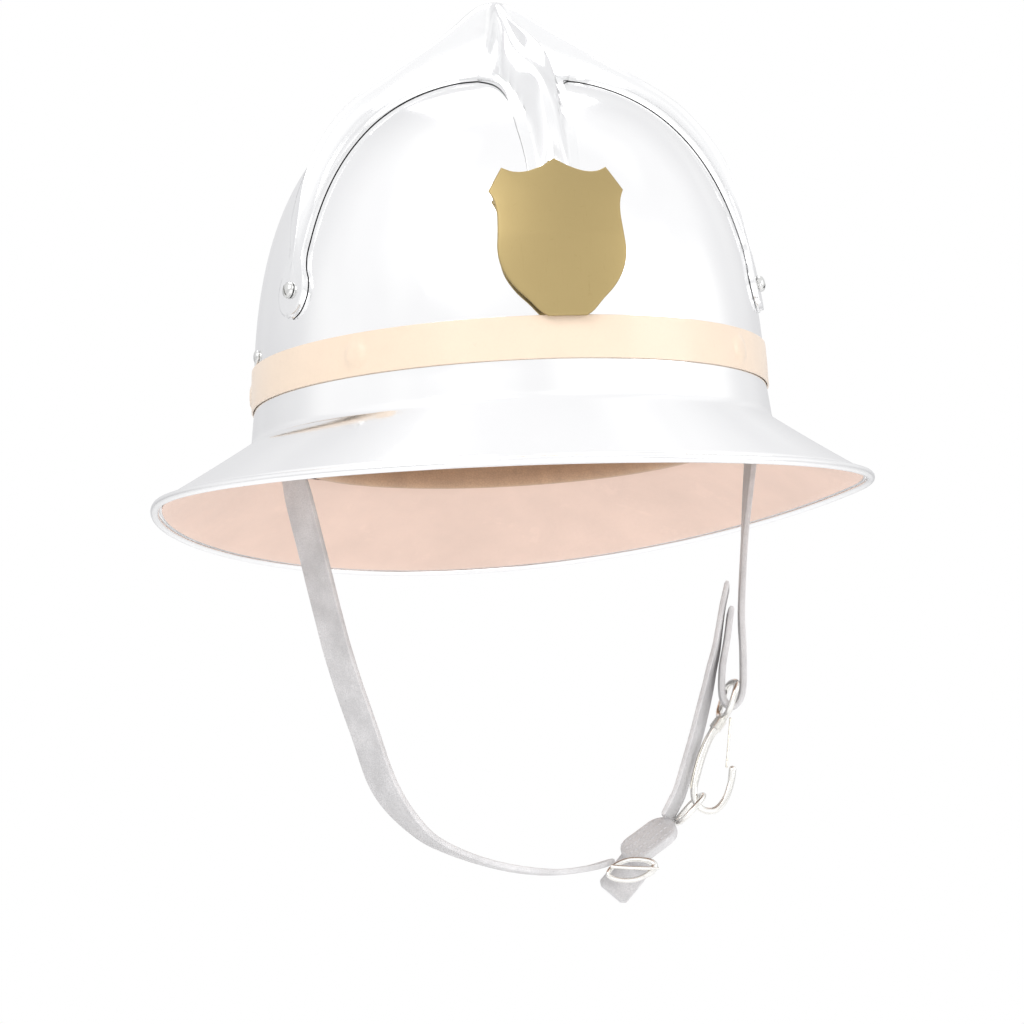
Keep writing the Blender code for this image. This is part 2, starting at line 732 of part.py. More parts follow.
bm = bmesh.new()
bmesh.ops.create_cone(bm, cap_ends=True, segments=36, radius1=PAD_R, radius2=PAD_R, depth=PAD_Z1 - PAD_Z0,
                      matrix=Matrix.Translation((0, 0, 0.5 * (PAD_Z0 + PAD_Z1))))
pad = new_object("crown_pad", mesh_from_bm("crown_pad", bm), ((0.45, 0.43, 0.42), 0.0, 0.9))
bev = pad.modifiers.new("edge", "BEVEL")
bev.width = 0.8 * MM
bev.segments = 1
bev.limit_method = "ANGLE"

# rivets and spacers that hold the lining in the shell
lining_holes = []
for idx, (name, deg) in enumerate(zip(("front_left", "front_right", "side_left", "side_right", "rear_left",
                                       "rear_right"), RIVET_ANG)):
    ang = math.radians(deg)
    p = dome_point(ang, RIVET_Z)
    n = dome_normal(on_dome(p))
    n = Vector((n.x, n.y, 0)).normalized()
    # depth from the shell's outside to the hoop's outside and the cradle's inside, along the rivet
    def depth_to(off):
        a_, f_, r_ = lining_oval(off)
        d = 0.0
        while d < 60 * MM:
            q = p - n * d
            b_ = f_ if q.y < 0 else r_
            if (q.x / a_) ** 2 + (q.y / b_) ** 2 <= 1.0:
                return d
            d += 0.05 * MM
        return d
    d_hoop = depth_to(6.2 * MM)
    d_in = depth_to(CRADLE_OFF)
    shell_holes.append((p, n, 2.4 * MM, 10 * MM))
    lining_holes.append((p - n * d_hoop, n, 2.4 * MM, 12 * MM))
    turned("liner_rivet_" + name,
           [(0, 0.85 * MM), (3.0 * MM, 0.8 * MM), (4.3 * MM, 0.3 * MM), (2.0 * MM, 0.3 * MM),
            (2.0 * MM, -d_in - 0.35 * MM), (3.8 * MM, -d_in - 0.35 * MM), (3.6 * MM, -d_in - 0.95 * MM),
            (0, -d_in - 0.95 * MM)],
           p, n, (STEEL, 1.0, 0.3), 10)
    top, bot = -SHELL_T - 0.9 * MM, -d_hoop + 0.7 * MM
    ring_profile("liner_spacer_" + name,
                 [(2.5 * MM, top), (6.8 * MM, top), (6.8 * MM, bot), (2.5 * MM, bot)],
                 p, n, ((0.22, 0.21, 0.20), 0.0, 0.8), 12)

lining_cut = drill("lining_drill", lining_holes)
boolean(hoop, lining_cut)
boolean(cradle, lining_cut)

# ---------------------------------------------------------------- chin strap anchors
for name, sx in (("left", 1.0), ("right", -1.0)):
    origin = Vector((sx * ANCHOR.x, ANCHOR.y, ANCHOR.z))
    out = Vector((sx, 0, 0))
    shell_holes.append((origin, out, 2.3 * MM, 8 * MM))
    turned("anchor_rivet_" + name,
           [(0, 1.9 * MM), (1.6 * MM, 1.7 * MM), (2.6 * MM, 1.1 * MM), (3.0 * MM, 0.4 * MM), (1.9 * MM, 0.4 * MM),
            (1.9 * MM, -6.3 * MM), (4.2 * MM, -6.3 * MM), (4.0 * MM, -7.3 * MM), (0, -7.3 * MM)],
           origin, out, (STEEL, 1.0, 0.3), 16)
    ring_profile("anchor_washer_" + name,
                 [(2.3 * MM, -2.3 * MM), (5.0 * MM, -2.3 * MM), (5.0 * MM, -3.0 * MM), (2.3 * MM, -3.0 * MM)],
                 origin, out, (STEEL, 1.0, 0.35), 20)

boolean(shell, drill("shell_drill", shell_holes))

# ---------------------------------------------------------------- chin strap
STRAP_X = ANCHOR.x - 4.7 * MM       # centre of the strap's thickness at the anchors


def empty(name, loc):
    e = bpy.data.objects.new(name, None)
    e.location = loc
    helmet.objects.link(e)
    return e


def put_under(obj, parent):
    """Parent an object and keep its place, with its origin at the parent's."""
    offset = parent.matrix_world.translation.copy()
    obj.data.transform(Matrix.Translation(-offset))
    obj.parent = parent


strap_axis = empty("chin_strap_axis", (0, ANCHOR.y, ANCHOR.z))
hanger_axis = empty("hanger_axis", (0, ANCHOR.y, ANCHOR.z))
bpy.context.view_layer.update()

LONG = [(-STRAP_X / MM, 4.6, 46.4), (-STRAP_X / MM, 1.2, 40), (-STRAP_X / MM, -2, 34), (-97.8, -8.2, 22.4),
        (-97.0, -16, 8), (-95.2, -24.5, -8), (-93.6, -30.1, -19), (-87.9, -34.4, -49.2), (-80.4, -39.9, -88.3),
        (-72.1, -44.2, -119.2), (-65.3, -47.3, -141.7), (-54.5, -49.5, -157.2), (-43.4, -50.7, -165.7),
        (-23.5, -51.8, -173.5), (-3.6, -52.3, -177.0), (12.0, -52.1, -176.2), (23.0, -52.0, -173.6)]


def turn_about(v, axis, deg):
    return Matrix.Rotation(math.radians(deg), 3, axis) @ v


def strap_wide(points, twist, plan=lambda p: 0.0):
    """Width direction: square to the path and to the side, turned by twist degrees; plan turns it about Z first."""
    tg = tangents(points)
    out = []
    for i, (p, t) in enumerate(zip(points, tg)):
        base = turn_about(Vector((0, -1, 0)), Vector((0, 0, 1)), plan(p))
        base = (base - t * base.dot(t)).normalized()
        out.append(turn_about(base, t, twist(p)))
    return out


long_pts = resample(catmull(mm(LONG), 8), 46)
# flat against the shell at the anchor, turned forwards on the cheek, level under the chin
twist_long = lambda p: -34.0 * smooth(8 * MM, -30 * MM, p.z) * smooth(-174 * MM, -135 * MM, p.z)
strap = ribbon("chin_strap", long_pts, strap_wide(long_pts, twist_long), (LEATHER, 0.0, 0.55))
boolean(strap, drill("strap_eyelet", [(Vector((-STRAP_X, ANCHOR.y, ANCHOR.z)), (1, 0, 0), 2.3 * MM, 8 * MM)]))
apply_modifiers(strap)
put_under(strap, strap_axis)

# stitched end of the strap: doubled leather between buckle and ring
block_pts = resample(catmull(mm([(27.0, -52.1, -172.6), (33.7, -51.4, -168.8), (42.1, -50.6, -163.4),
                                 (47.6, -50.0, -159.6)]), 6), 12)
block = ribbon("ring_tab", block_pts, strap_wide(block_pts, lambda p: 38.0), (LEATHER, 0.0, 0.55),
               STRAP_W, 4.2 * MM)
put_under(block, strap_axis)

# strap tail that hangs out of the buckle
tail_pts = resample(catmull(mm([(30.4, -49.4, -178.4), (25.6, -51.2, -182.0), (20.0, -53.6, -185.4)]), 6), 8)
tail = ribbon("strap_tail", tail_pts, strap_wide(tail_pts, lambda p: -80.0), (LEATHER, 0.0, 0.55), 13.5 * MM)
put_under(tail, strap_axis)

# cheek tongue: backing leather that runs up behind the hook
tongue_pts = resample(catmull(mm([(49.4, -46.4, -152.0), (52.3, -46.2, -146.5), (59.3, -45.0, -127.5),
                                  (65.0, -44.5, -109.5), (67.7, -43.8, -100.0), (70.5, -43.0, -91.0),
                                  (73.8, -41.8, -76.0), (76.7, -41.0, -66.0)]), 6), 18)
twist_tongue = lambda p: -16.0 - 14.0 * smooth(-70 * MM, -125 * MM, p.z)
tongue = ribbon("cheek_tongue", tongue_pts, strap_wide(tongue_pts, twist_tongue), (LEATHER, 0.0, 0.6),
                13.0 * MM, 2.0 * MM)
put_under(tongue, strap_axis)


def oval_loop(centre, along, across, half_long, half_wide, count=28, power=2.6):
    """Points on a rounded oval in the plane of two directions."""
    a = Vector(along).normalized()
    b = Vector(across)
    b = (b - a * b.dot(a)).normalized()
    out = []
    for i in range(count):
        t = 2 * math.pi * i / count
        c, s = math.cos(t), math.sin(t)
        out.append(Vector(centre) + a * (half_long * math.copysign(abs(c) ** (2 / power), c))
                   + b * (half_wide * math.copysign(abs(s) ** (2 / power), s)))
    return out, a.cross(b)


# wire frame buckle
BUCKLE_C = Vector((27.2, -62.7, -177.6)) * MM
b_pts, b_n = oval_loop(BUCKLE_C, (1, 0.05, -0.05), (0, -0.55, -1), 9.6 * MM, 5.2 * MM, 24)
buckle = tube("buckle_frame", b_pts, 1.0 * MM, (STEEL, 1.0, 0.25), 6, True, b_n)
put_under(buckle, strap_axis)

# prong that turns on the buckle's bar
PRONG_AXIS = Vector((17.8, -62.2, -177.0)) * MM
prong_axis = empty("prong_axis", PRONG_AXIS)
prong_axis.parent = strap_axis
prong_axis.location = PRONG_AXIS - strap_axis.location
bpy.context.view_layer.update()
pr = mm([(19.4, -64.2, -176.0), (24.0, -65.2, -176.6), (30.0, -65.3, -177.1), (37.6, -64.6, -177.5)])
prong = tube("buckle_prong", resample(catmull(pr, 4), 9), 0.75 * MM, (STEEL, 1.0, 0.3), 6, False, Vector((0, 0, 1)))
put_under(prong, prong_axis)

# oval ring in the end of the tab
RING_A = Vector((49.6, -49.9, -159.8)) * MM
RING_B = Vector((60.0, -48.6, -149.4)) * MM
ring_dir = (RING_B - RING_A).normalized()
ring_axis = empty("ring_axis", (0, 0, 0))
ring_axis.parent = strap_axis
ring_axis.location = RING_A - strap_axis.location
bpy.context.view_layer.update()
r_pts, r_n = oval_loop((RING_A + RING_B) / 2, ring_dir, (0, 1, 0), (RING_B - RING_A).length / 2, 7.2 * MM, 24)
ring = tube("oval_ring", r_pts, 1.25 * MM, (STEEL, 1.0, 0.22), 6, True, r_n)
put_under(ring, ring_axis)

# ---------------------------------------------------------------- hanger strap and snap hook
HANG = [(STRAP_X / MM, 4.6, 46.4), (STRAP_X / MM, 1.2, 40), (STRAP_X / MM, -2, 34), (97.6, -8.2, 22.4),
        (96.6, -16, 8), (94.6, -24.0, -6), (91.6, -29.4, -17), (86.4, -34.2, -47.7), (82.6, -38.1, -76.0),
        (81.8, -40.4, -92.1), (80.6, -42.3, -106.0), (78.6, -43.2, -112.4), (75.2, -43.4, -114.6),
        (71.9, -43.1, -111.0), (72.6, -41.6, -99.9), (75.6, -39.8, -88.0), (78.2, -38.1, -75.9)]
hang_pts = resample(catmull(mm(HANG), 8), 54)
# turned a little towards the cheek below the brim; the folded leg keeps the same width direction
hang_wide = strap_wide(hang_pts, lambda p: 0.0, lambda p: -11.0 * smooth(-12 * MM, -55 * MM, p.z))
hanger = ribbon("hanger_strap", hang_pts, hang_wide, (LEATHER, 0.0, 0.55), 13.0 * MM)
boolean(hanger, drill("hanger_eyelet", [(Vector((STRAP_X, ANCHOR.y, ANCHOR.z)), (1, 0, 0), 2.3 * MM, 8 * MM)]))
apply_modifiers(hanger)
put_under(hanger, hanger_axis)

EYE_C = Vector((74.9, -43.3, -109.0)) * MM
hook_axis = empty("hook_axis", (0, 0, 0))
hook_axis.parent = hanger_axis
hook_axis.location = EYE_C - hanger_axis.location
bpy.context.view_layer.update()
EYE_UP = Vector((0.37, 0, 1.0)).normalized()
EYE_PTS, eye_n = oval_loop(EYE_C - EYE_UP * (3.0 * MM), EYE_UP, (0, 1, 0), 7.2 * MM, 9.4 * MM, 24, 3.0)
eye = tube("hook_eye", EYE_PTS, 1.3 * MM, (STEEL, 1.0, 0.22), 6, True, eye_n)
HOOK = [(71.0, -43.8, -119.4), (68.2, -44.3, -122.8), (65.0, -45.1, -127.2), (61.8, -46.0, -133.4),
        (59.2, -46.9, -140.0), (57.3, -47.8, -146.6), (57.4, -48.5, -151.4), (60.2, -48.9, -155.0),
        (65.0, -48.9, -155.4), (69.3, -48.3, -151.6), (72.2, -47.5, -145.4), (73.5, -46.9, -139.6)]
hook_pts = resample(catmull(mm(HOOK), 6), 28)
hook_r = [(1.9 if i < 3 else 1.6 if i < 12 else 1.35) * MM for i in range(28)]
hook = tube("snap_hook", hook_pts, hook_r, (STEEL, 1.0, 0.22), 6, False, Vector((0, 1, 0)))
as_cutter(eye)
boolean(hook, eye, "UNION")
apply_modifiers(hook)
put_under(hook, hook_axis)

# spring wire gate from the eye's foot to the hook's tip
GATE_TOP = Vector((74.4, -43.9, -119.4)) * MM
gate_axis = empty("gate_axis", (0, 0, 0))
gate_axis.parent = hook_axis
gate_axis.location = GATE_TOP - EYE_C
bpy.context.view_layer.update()
gate_pts = [GATE_TOP, Vector((73.0, -45.2, -128)) * MM, Vector((71.2, -46.8, -138.4)) * MM]
gate = tube("hook_gate", resample(gate_pts, 8), 0.55 * MM, (STEEL, 1.0, 0.3), 6, False, Vector((0, 1, 0)))
put_under(gate, gate_axis)

bpy.context.view_layer.update()

# the whole helmet is stood on its resting face: origin at the middle of the crown pad's underside
for obj in [o for o in bpy.data.objects if o.parent is None]:
    obj.matrix_world = Matrix.Translation((0, 0, -PAD_Z0)) @ obj.matrix_world
bpy.context.view_layer.update()
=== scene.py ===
import math
import bmesh
import bpy
from mathutils import Matrix, Vector, noise


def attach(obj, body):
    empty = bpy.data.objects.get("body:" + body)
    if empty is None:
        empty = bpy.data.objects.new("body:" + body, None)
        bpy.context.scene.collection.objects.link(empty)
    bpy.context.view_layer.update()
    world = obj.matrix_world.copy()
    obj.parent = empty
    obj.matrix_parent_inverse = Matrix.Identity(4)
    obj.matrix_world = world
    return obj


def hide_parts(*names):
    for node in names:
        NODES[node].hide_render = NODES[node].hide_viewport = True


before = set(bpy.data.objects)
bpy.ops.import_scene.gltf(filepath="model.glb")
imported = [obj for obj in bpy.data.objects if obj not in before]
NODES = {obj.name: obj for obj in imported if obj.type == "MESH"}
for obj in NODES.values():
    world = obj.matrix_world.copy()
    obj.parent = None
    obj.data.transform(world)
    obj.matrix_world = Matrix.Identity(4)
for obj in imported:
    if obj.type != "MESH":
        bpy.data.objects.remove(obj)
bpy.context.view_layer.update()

MM = 0.001
DROP = Matrix.Translation((0, 0, -75.0 * MM))      # drawing height (crease at 0) to the frame's origin

# ------------------------------------------------------------------ design dimensions of the frame
DOME_A, DOME_BF, DOME_BR, DOME_H = 103.1 * MM, 120.9 * MM, 126.1 * MM, 141.5 * MM
DOME_P, DOME_Q = 2.5, 3.0
FOOT_Z, FOOT_FLARE, SHELL_T = 14.1 * MM, 1.6 * MM, 1.2 * MM
RIM_X, RIM_F, RIM_R = 146.0 * MM, 144.3 * MM, 192.1 * MM
RIM_Z_SIDE, RIM_Z_FRONT, RIM_Z_REAR = -24.1 * MM, -27.7 * MM, -36.4 * MM
BEAD_R = 1.75 * MM
GAP, CREST_EDGE, CREST_WALL = 0.5 * MM, 2.0 * MM, 3.6 * MM
SWEAT = (80.0 * MM, 100.0 * MM, 102.0 * MM)
ANCHOR = Vector((102.1, -2.0, 34.0)) * MM
RIVET_Z = 22.5 * MM
RIVETS = {"front_left": -43.0, "front_right": -137.0, "side_left": 14.0, "side_right": 166.0,
          "rear_left": 58.0, "rear_right": 122.0}
SCREWS = {"right": (-92.4, -45.0, 53.5), "left": (92.4, -45.0, 53.5), "rear": (0.0, 122.0, 53.5)}


# ------------------------------------------------------------------ small tools
def mm(points):
    return [Vector(p) * MM for p in points]


def catmull(points, per=6):
    pts = [Vector(p) for p in points]
    ext = [pts[0] * 2 - pts[1]] + pts + [pts[-1] * 2 - pts[-2]]
    out = []
    for i in range(1, len(ext) - 2):
        p0, p1, p2, p3 = ext[i - 1:i + 3]
        for s in range(per):
            t = s / per
            out.append(0.5 * ((2 * p1) + (p2 - p0) * t + (2 * p0 - 5 * p1 + 4 * p2 - p3) * t * t
                              + (3 * p1 - p0 - 3 * p2 + p3) * t ** 3))
    out.append(pts[-1])
    return out


def resample(points, count):
    acc = [0.0]
    for a, b in zip(points, points[1:]):
        acc.append(acc[-1] + (b - a).length)
    out, j = [], 0
    for i in range(count):
        d = acc[-1] * i / (count - 1)
        while j < len(points) - 2 and acc[j + 1] < d:
            j += 1
        t = (d - acc[j]) / max(acc[j + 1] - acc[j], 1e-12)
        out.append(points[j].lerp(points[j + 1], min(max(t, 0.0), 1.0)))
    return out


def tangents(points, closed=False):
    n = len(points)
    out = []
    for i in range(n):
        a = points[(i - 1) % n] if (closed or i > 0) else points[0]
        b = points[(i + 1) % n] if (closed or i < n - 1) else points[-1]
        out.append((b - a).normalized())
    return out


def smooth(a, b, x):
    t = min(max((x - a) / (b - a), 0.0), 1.0)
    return t * t * (3 - 2 * t)


def turn_about(v, axis, deg):
    return Matrix.Rotation(math.radians(deg), 3, axis) @ v


def frame_to(origin, zdir, xhint=None):
    z = Vector(zdir).normalized()
    h = Vector(xhint) if xhint is not None else (Vector((0, 0, 1)) if abs(z.z) < 0.9 else Vector((0, 1, 0)))
    x = (h - z * h.dot(z)).normalized()
    y = z.cross(x)
    m = Matrix((x, y, z)).transposed().to_4x4()
    m.translation = Vector(origin)
    return m


def link(name, mesh, mat, body, replaces=(), sharp=None):
    mesh.transform(DROP)
    obj = bpy.data.objects.new(name, mesh)
    bpy.context.scene.collection.objects.link(obj)
    mesh.materials.clear()
    mesh.materials.append(mat)
    mesh.shade_smooth()
    if sharp:
        mesh.set_sharp_from_angle(angle=math.radians(sharp))
    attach(obj, body)
    if replaces:
        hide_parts(*replaces)
    return obj


def mesh_of(name, bm, merge=0.0):
    if merge:
        bmesh.ops.remove_doubles(bm, verts=bm.verts, dist=merge)
        bmesh.ops.dissolve_degenerate(bm, edges=bm.edges, dist=merge)
    bmesh.ops.recalc_face_normals(bm, faces=bm.faces)
    mesh = bpy.data.meshes.new(name)
    bm.to_mesh(mesh)
    bm.free()
    return mesh


def skin(name, rows, wrap_rows=False, wrap_cols=True, caps=True, uv=None, merge=0.0):
    """Quads between rows of points; uv gives (u, v) per point."""
    bm = bmesh.new()
    layer = bm.loops.layers.uv.new("path") if uv else None
    vs = [[bm.verts.new(p) for p in r] for r in rows]
    nr, nc = len(rows), len(rows[0])
    for i in range(nr if wrap_rows else nr - 1):
        i2 = (i + 1) % nr
        for j in range(nc if wrap_cols else nc - 1):
            j2 = (j + 1) % nc
            f = bm.faces.new((vs[i][j], vs[i][j2], vs[i2][j2], vs[i2][j]))
            if uv:
                for lp, (a, b) in zip(f.loops, ((i, j), (i, j2), (i2, j2), (i2, j))):
                    lp[layer].uv = uv[a][b]
    if caps and not wrap_rows and wrap_cols:
        bm.faces.new(vs[0])
        bm.faces.new(list(reversed(vs[-1])))
    return mesh_of(name, bm, merge)


# ------------------------------------------------------------------ shell form
def half_oval(a, bf, br, ang):
    s = math.sin(ang)
    return a * math.cos(ang), (bf if s < 0 else br) * s


def dome_k(z):
    return max(0.0, 1.0 - (max(z, 0.0) / DOME_H) ** DOME_P) ** (1.0 / DOME_Q)


def dome_point(ang, z, off=0.0):
    k = dome_k(z)
    f = FOOT_FLARE * max(0.0, 1.0 - z / FOOT_Z) + off
    x, y = half_oval(DOME_A * k + f, DOME_BF * k + f, DOME_BR * k + f, ang)
    return Vector((x, y, z))


def dome_level(p):
    b = DOME_BF if p.y < 0 else DOME_BR
    r2 = (p.x / DOME_A) ** 2 + (p.y / b) ** 2
    return r2 ** (DOME_Q / 2) + (max(p.z, 0.0) / DOME_H) ** DOME_P


def on_dome(p):
    lo, hi = 0.2, 4.0
    for _ in range(34):
        mid = 0.5 * (lo + hi)
        if dome_level(p * mid) > 1.0:
            hi = mid
        else:
            lo = mid
    return p * lo


def dome_normal(p):
    e = 0.2 * MM
    ex, ey, ez = Vector((e, 0, 0)), Vector((0, e, 0)), Vector((0, 0, e))
    return Vector((dome_level(p + ex) - dome_level(p - ex), dome_level(p + ey) - dome_level(p - ey),
                   dome_level(p + ez) - dome_level(p - ez))).normalized()


def rim_z(ang):
    s = math.sin(ang)
    end = RIM_Z_FRONT if s < 0 else RIM_Z_REAR
    return RIM_Z_SIDE + (end - RIM_Z_SIDE) * abs(s) ** 1.7


def brim_point(ang, s):
    c = dome_point(ang, 0.0)
    x, y = half_oval(RIM_X, RIM_F, RIM_R, ang)
    return Vector((c.x + (x - c.x) * s, c.y + (y - c.y) * s, rim_z(ang) * (1.06 * s - 0.06 * s * s)))


def brim_normal(ang, s):
    da = brim_point(ang + 0.01, s) - brim_point(ang - 0.01, s)
    ds = brim_point(ang, s + 0.01) - brim_point(ang, s - 0.01)
    n = da.cross(ds).normalized()
    return n if n.z > 0 else -n


def brim_length(ang):
    return (brim_point(ang, 1.0) - brim_point(ang, 0.0)).length


# ------------------------------------------------------------------ node materials
class Mat:
    """Builds a Principled material node by node."""

    def __init__(self, name, color, metallic=0.0, rough=0.5):
        self.m = bpy.data.materials.new(name)
        self.m.use_nodes = True
        self.t = self.m.node_tree
        self.b = self.t.nodes["Principled BSDF"]
        self.b.inputs["Base Color"].default_value = (*color, 1)
        self.b.inputs["Metallic"].default_value = metallic
        self.b.inputs["Roughness"].default_value = rough
        self.color = color
        self.coord = self.t.nodes.new("ShaderNodeTexCoord")
        self.bump_out = None

    def node(self, kind, **kw):
        n = self.t.nodes.new(kind)
        for k, v in kw.items():
            setattr(n, k, v)
        return n

    def link(self, a, b):
        self.t.links.new(a, b)

    def coords(self, scale=(1, 1, 1), uv=False, rot=(0, 0, 0)):
        mp = self.node("ShaderNodeMapping")
        mp.inputs["Scale"].default_value = scale
        mp.inputs["Rotation"].default_value = rot
        if uv:
            u = self.node("ShaderNodeUVMap", uv_map="path")
            self.link(u.outputs["UV"], mp.inputs["Vector"])
        else:
            self.link(self.coord.outputs["Object"], mp.inputs["Vector"])
        return mp.outputs["Vector"]

    def noise(self, scale, detail=4, rough=0.55, vec=None, dist=0.0):
        n = self.node("ShaderNodeTexNoise")
        n.inputs["Scale"].default_value = scale
        n.inputs["Detail"].default_value = detail
        n.inputs["Roughness"].default_value = rough
        n.inputs["Distortion"].default_value = dist
        self.link(vec if vec is not None else self.coords(), n.inputs["Vector"])
        return n.outputs["Fac"]

    def voronoi(self, scale, feature="F1", vec=None, out="Distance"):
        n = self.node("ShaderNodeTexVoronoi", feature=feature)
        n.inputs["Scale"].default_value = scale
        self.link(vec if vec is not None else self.coords(), n.inputs["Vector"])
        return n.outputs[out]

    def ramp(self, fac, stops):
        r = self.node("ShaderNodeValToRGB")
        e = r.color_ramp.elements
        while len(e) > 1:
            e.remove(e[-1])
        for i, (p, c) in enumerate(stops):
            el = e[0] if i == 0 else e.new(p)
            el.position = p
            el.color = (*c, 1) if isinstance(c, (tuple, list)) else (c, c, c, 1)
        self.link(fac, r.inputs["Fac"])
        return r.outputs["Color"]

    def math(self, op, a, b=None, c=None):
        n = self.node("ShaderNodeMath", operation=op)
        for i, v in enumerate((a, b, c)):
            if v is None:
                continue
            if isinstance(v, (int, float)):
                n.inputs[i].default_value = v
            else:
                self.link(v, n.inputs[i])
        return n.outputs[0]

    def mix(self, fac, a, b, blend="MIX"):
        n = self.node("ShaderNodeMix", data_type="RGBA", blend_type=blend)
        for sock, v in ((n.inputs["Factor"], fac), (n.inputs[6], a), (n.inputs[7], b)):
            if isinstance(v, (int, float)):
                sock.default_value = v
            elif isinstance(v, tuple):
                sock.default_value = (*v, 1)
            else:
                self.link(v, sock)
        return n.outputs[2]

    def base(self, out):
        self.link(out, self.b.inputs["Base Color"])

    def rough(self, out):
        self.link(out, self.b.inputs["Roughness"])

    def bump(self, height, strength, dist=0.0002):
        n = self.node("ShaderNodeBump")
        n.inputs["Strength"].default_value = strength
        n.inputs["Distance"].default_value = dist
        self.link(height, n.inputs["Height"])
        if self.bump_out is not None:
            self.link(self.bump_out, n.inputs["Normal"])
        self.bump_out = n.outputs["Normal"]
        self.link(self.bump_out, self.b.inputs["Normal"])

    def edges(self, lo=0.5, hi=0.56):
        """1 on convex edges, 0 on faces."""
        g = self.node("ShaderNodeNewGeometry")
        return self.ramp(g.outputs["Pointiness"], [(lo, 0.0), (hi, 1.0)])

    def hollows(self, lo=0.44, hi=0.5):
        g = self.node("ShaderNodeNewGeometry")
        return self.ramp(g.outputs["Pointiness"], [(lo, 1.0), (hi, 0.0)])


def metal(name, color, rough, spun=0.0, hammer=0.0, scratch=0.35, dark=(0.6, 0.6, 0.6), tarnish=0.0, fine=1.0):
    m = Mat(name, color, 1.0, rough)
    cloud = m.noise(14, 5, 0.6)
    haze = m.noise(60 * fine, 4, 0.6)
    long_s = m.noise(1.0, 6, 0.7, m.coords((2600 * fine, 90 * fine, 90 * fine), rot=(0.3, 0.5, 0.9)))
    long_t = m.noise(1.0, 6, 0.7, m.coords((120 * fine, 2300 * fine, 120 * fine), rot=(0.9, 0.2, 0.4)))
    r = m.math("MULTIPLY_ADD", cloud, 0.10, rough - 0.05)
    r = m.math("MULTIPLY_ADD", haze, 0.06, m.math("SUBTRACT", r, 0.03))
    marks = m.math("MAXIMUM", m.ramp(long_s, [(0.60, 0.0), (0.72, 1.0)]), m.ramp(long_t, [(0.62, 0.0), (0.74, 1.0)]))
    r = m.math("MULTIPLY_ADD", marks, scratch * 0.25, r)
    m.rough(r)
    col = m.mix(m.ramp(cloud, [(0.35, 0.0), (0.7, 1.0)]), color, tuple(c * 0.965 for c in color))
    if tarnish:
        dirt = m.math("MULTIPLY", m.hollows(), m.ramp(m.noise(180 * fine, 3), [(0.35, 0.0), (0.65, 1.0)]))
        col = m.mix(m.math("MULTIPLY", dirt, tarnish), col, dark)
        spots = m.ramp(m.noise(420 * fine, 3, 0.6), [(0.66, 0.0), (0.74, 1.0)])
        col = m.mix(m.math("MULTIPLY", spots, tarnish * 0.5), col, dark)
    m.base(col)
    if spun:
        # faint turning marks left by polishing on a spindle
        sep = m.node("ShaderNodeSeparateXYZ")
        m.link(m.coord.outputs["Object"], sep.inputs["Vector"])
        jit = m.math("MULTIPLY_ADD", m.noise(9, 2), 0.004, sep.outputs["Z"])
        comb = m.node("ShaderNodeCombineXYZ")
        m.link(jit, comb.inputs["X"])
        lines = m.noise(2400, 3, 0.6, comb.outputs["Vector"])
        m.bump(lines, spun, 0.00003)
    if hammer:
        m.bump(m.noise(22, 2, 0.5), hammer, 0.002)
    m.bump(m.math("MULTIPLY", marks, -1.0), 0.12 * scratch, 0.00004)
    return m.m


def leather(name, face, edge, rough=0.5, grain=1.0, sheen=0.2, wear=0.35):
    m = Mat(name, face, 0.0, rough)
    cell = m.voronoi(1100 * grain, "DISTANCE_TO_EDGE")
    fine = m.noise(2600 * grain, 3, 0.6)
    soft = m.noise(70, 5, 0.65)
    streak = m.noise(1.0, 4, 0.6, m.coords((60, 900, 1), uv=True))
    h = m.math("ADD", m.math("MULTIPLY", m.ramp(cell, [(0.0, 0.0), (0.25, 1.0)]), 0.7), m.math("MULTIPLY", fine, 0.5))
    col = m.mix(m.ramp(soft, [(0.3, 0.0), (0.72, 1.0)]), tuple(c * 0.84 for c in face), tuple(min(c * 1.16, 1) for c in face))
    col = m.mix(m.math("MULTIPLY", m.ramp(streak, [(0.5, 0.0), (0.8, 1.0)]), 0.25), col, tuple(c * 0.72 for c in face))
    col = m.mix(m.math("MULTIPLY", m.edges(0.52, 0.6), wear), col, edge)
    col = m.mix(m.math("MULTIPLY", m.ramp(cell, [(0.0, 1.0), (0.12, 0.0)]), 0.35), col, tuple(c * 0.55 for c in face))
    m.base(col)
    m.rough(m.math("MULTIPLY_ADD", soft, 0.22, rough - 0.11))
    m.bump(h, 0.35, 0.00025)
    m.bump(m.noise(160, 3), 0.18, 0.0008)
    m.b.inputs["Sheen Weight"].default_value = sheen
    m.b.inputs["Sheen Roughness"].default_value = 0.4
    m.b.inputs["Specular IOR Level"].default_value = 0.45
    return m.m


def painted(name, color, rough=0.55):
    """Sprayed lining paint over a slightly grained ground."""
    m = Mat(name, color, 0.0, rough)
    soft = m.noise(24, 5, 0.6)
    fine = m.noise(900, 3, 0.6)
    peel = m.voronoi(520, "SMOOTH_F1")
    col = m.mix(m.ramp(soft, [(0.3, 0.0), (0.72, 1.0)]), tuple(c * 0.93 for c in color), tuple(min(1, c * 1.05) for c in color))
    specks = m.ramp(m.noise(1500, 2, 0.5), [(0.70, 0.0), (0.76, 1.0)])
    col = m.mix(m.math("MULTIPLY", specks, 0.35), col, tuple(c * 0.7 for c in color))
    rub = m.math("MULTIPLY", m.ramp(m.noise(55, 6, 0.7), [(0.60, 0.0), (0.68, 1.0)]), 0.18)
    col = m.mix(rub, col, tuple(min(1, c * 1.2) for c in color))
    m.base(col)
    m.rough(m.math("MULTIPLY_ADD", soft, 0.2, rough - 0.1))
    m.bump(peel, 0.25, 0.00025)
    m.bump(fine, 0.25, 0.00015)
    return m.m


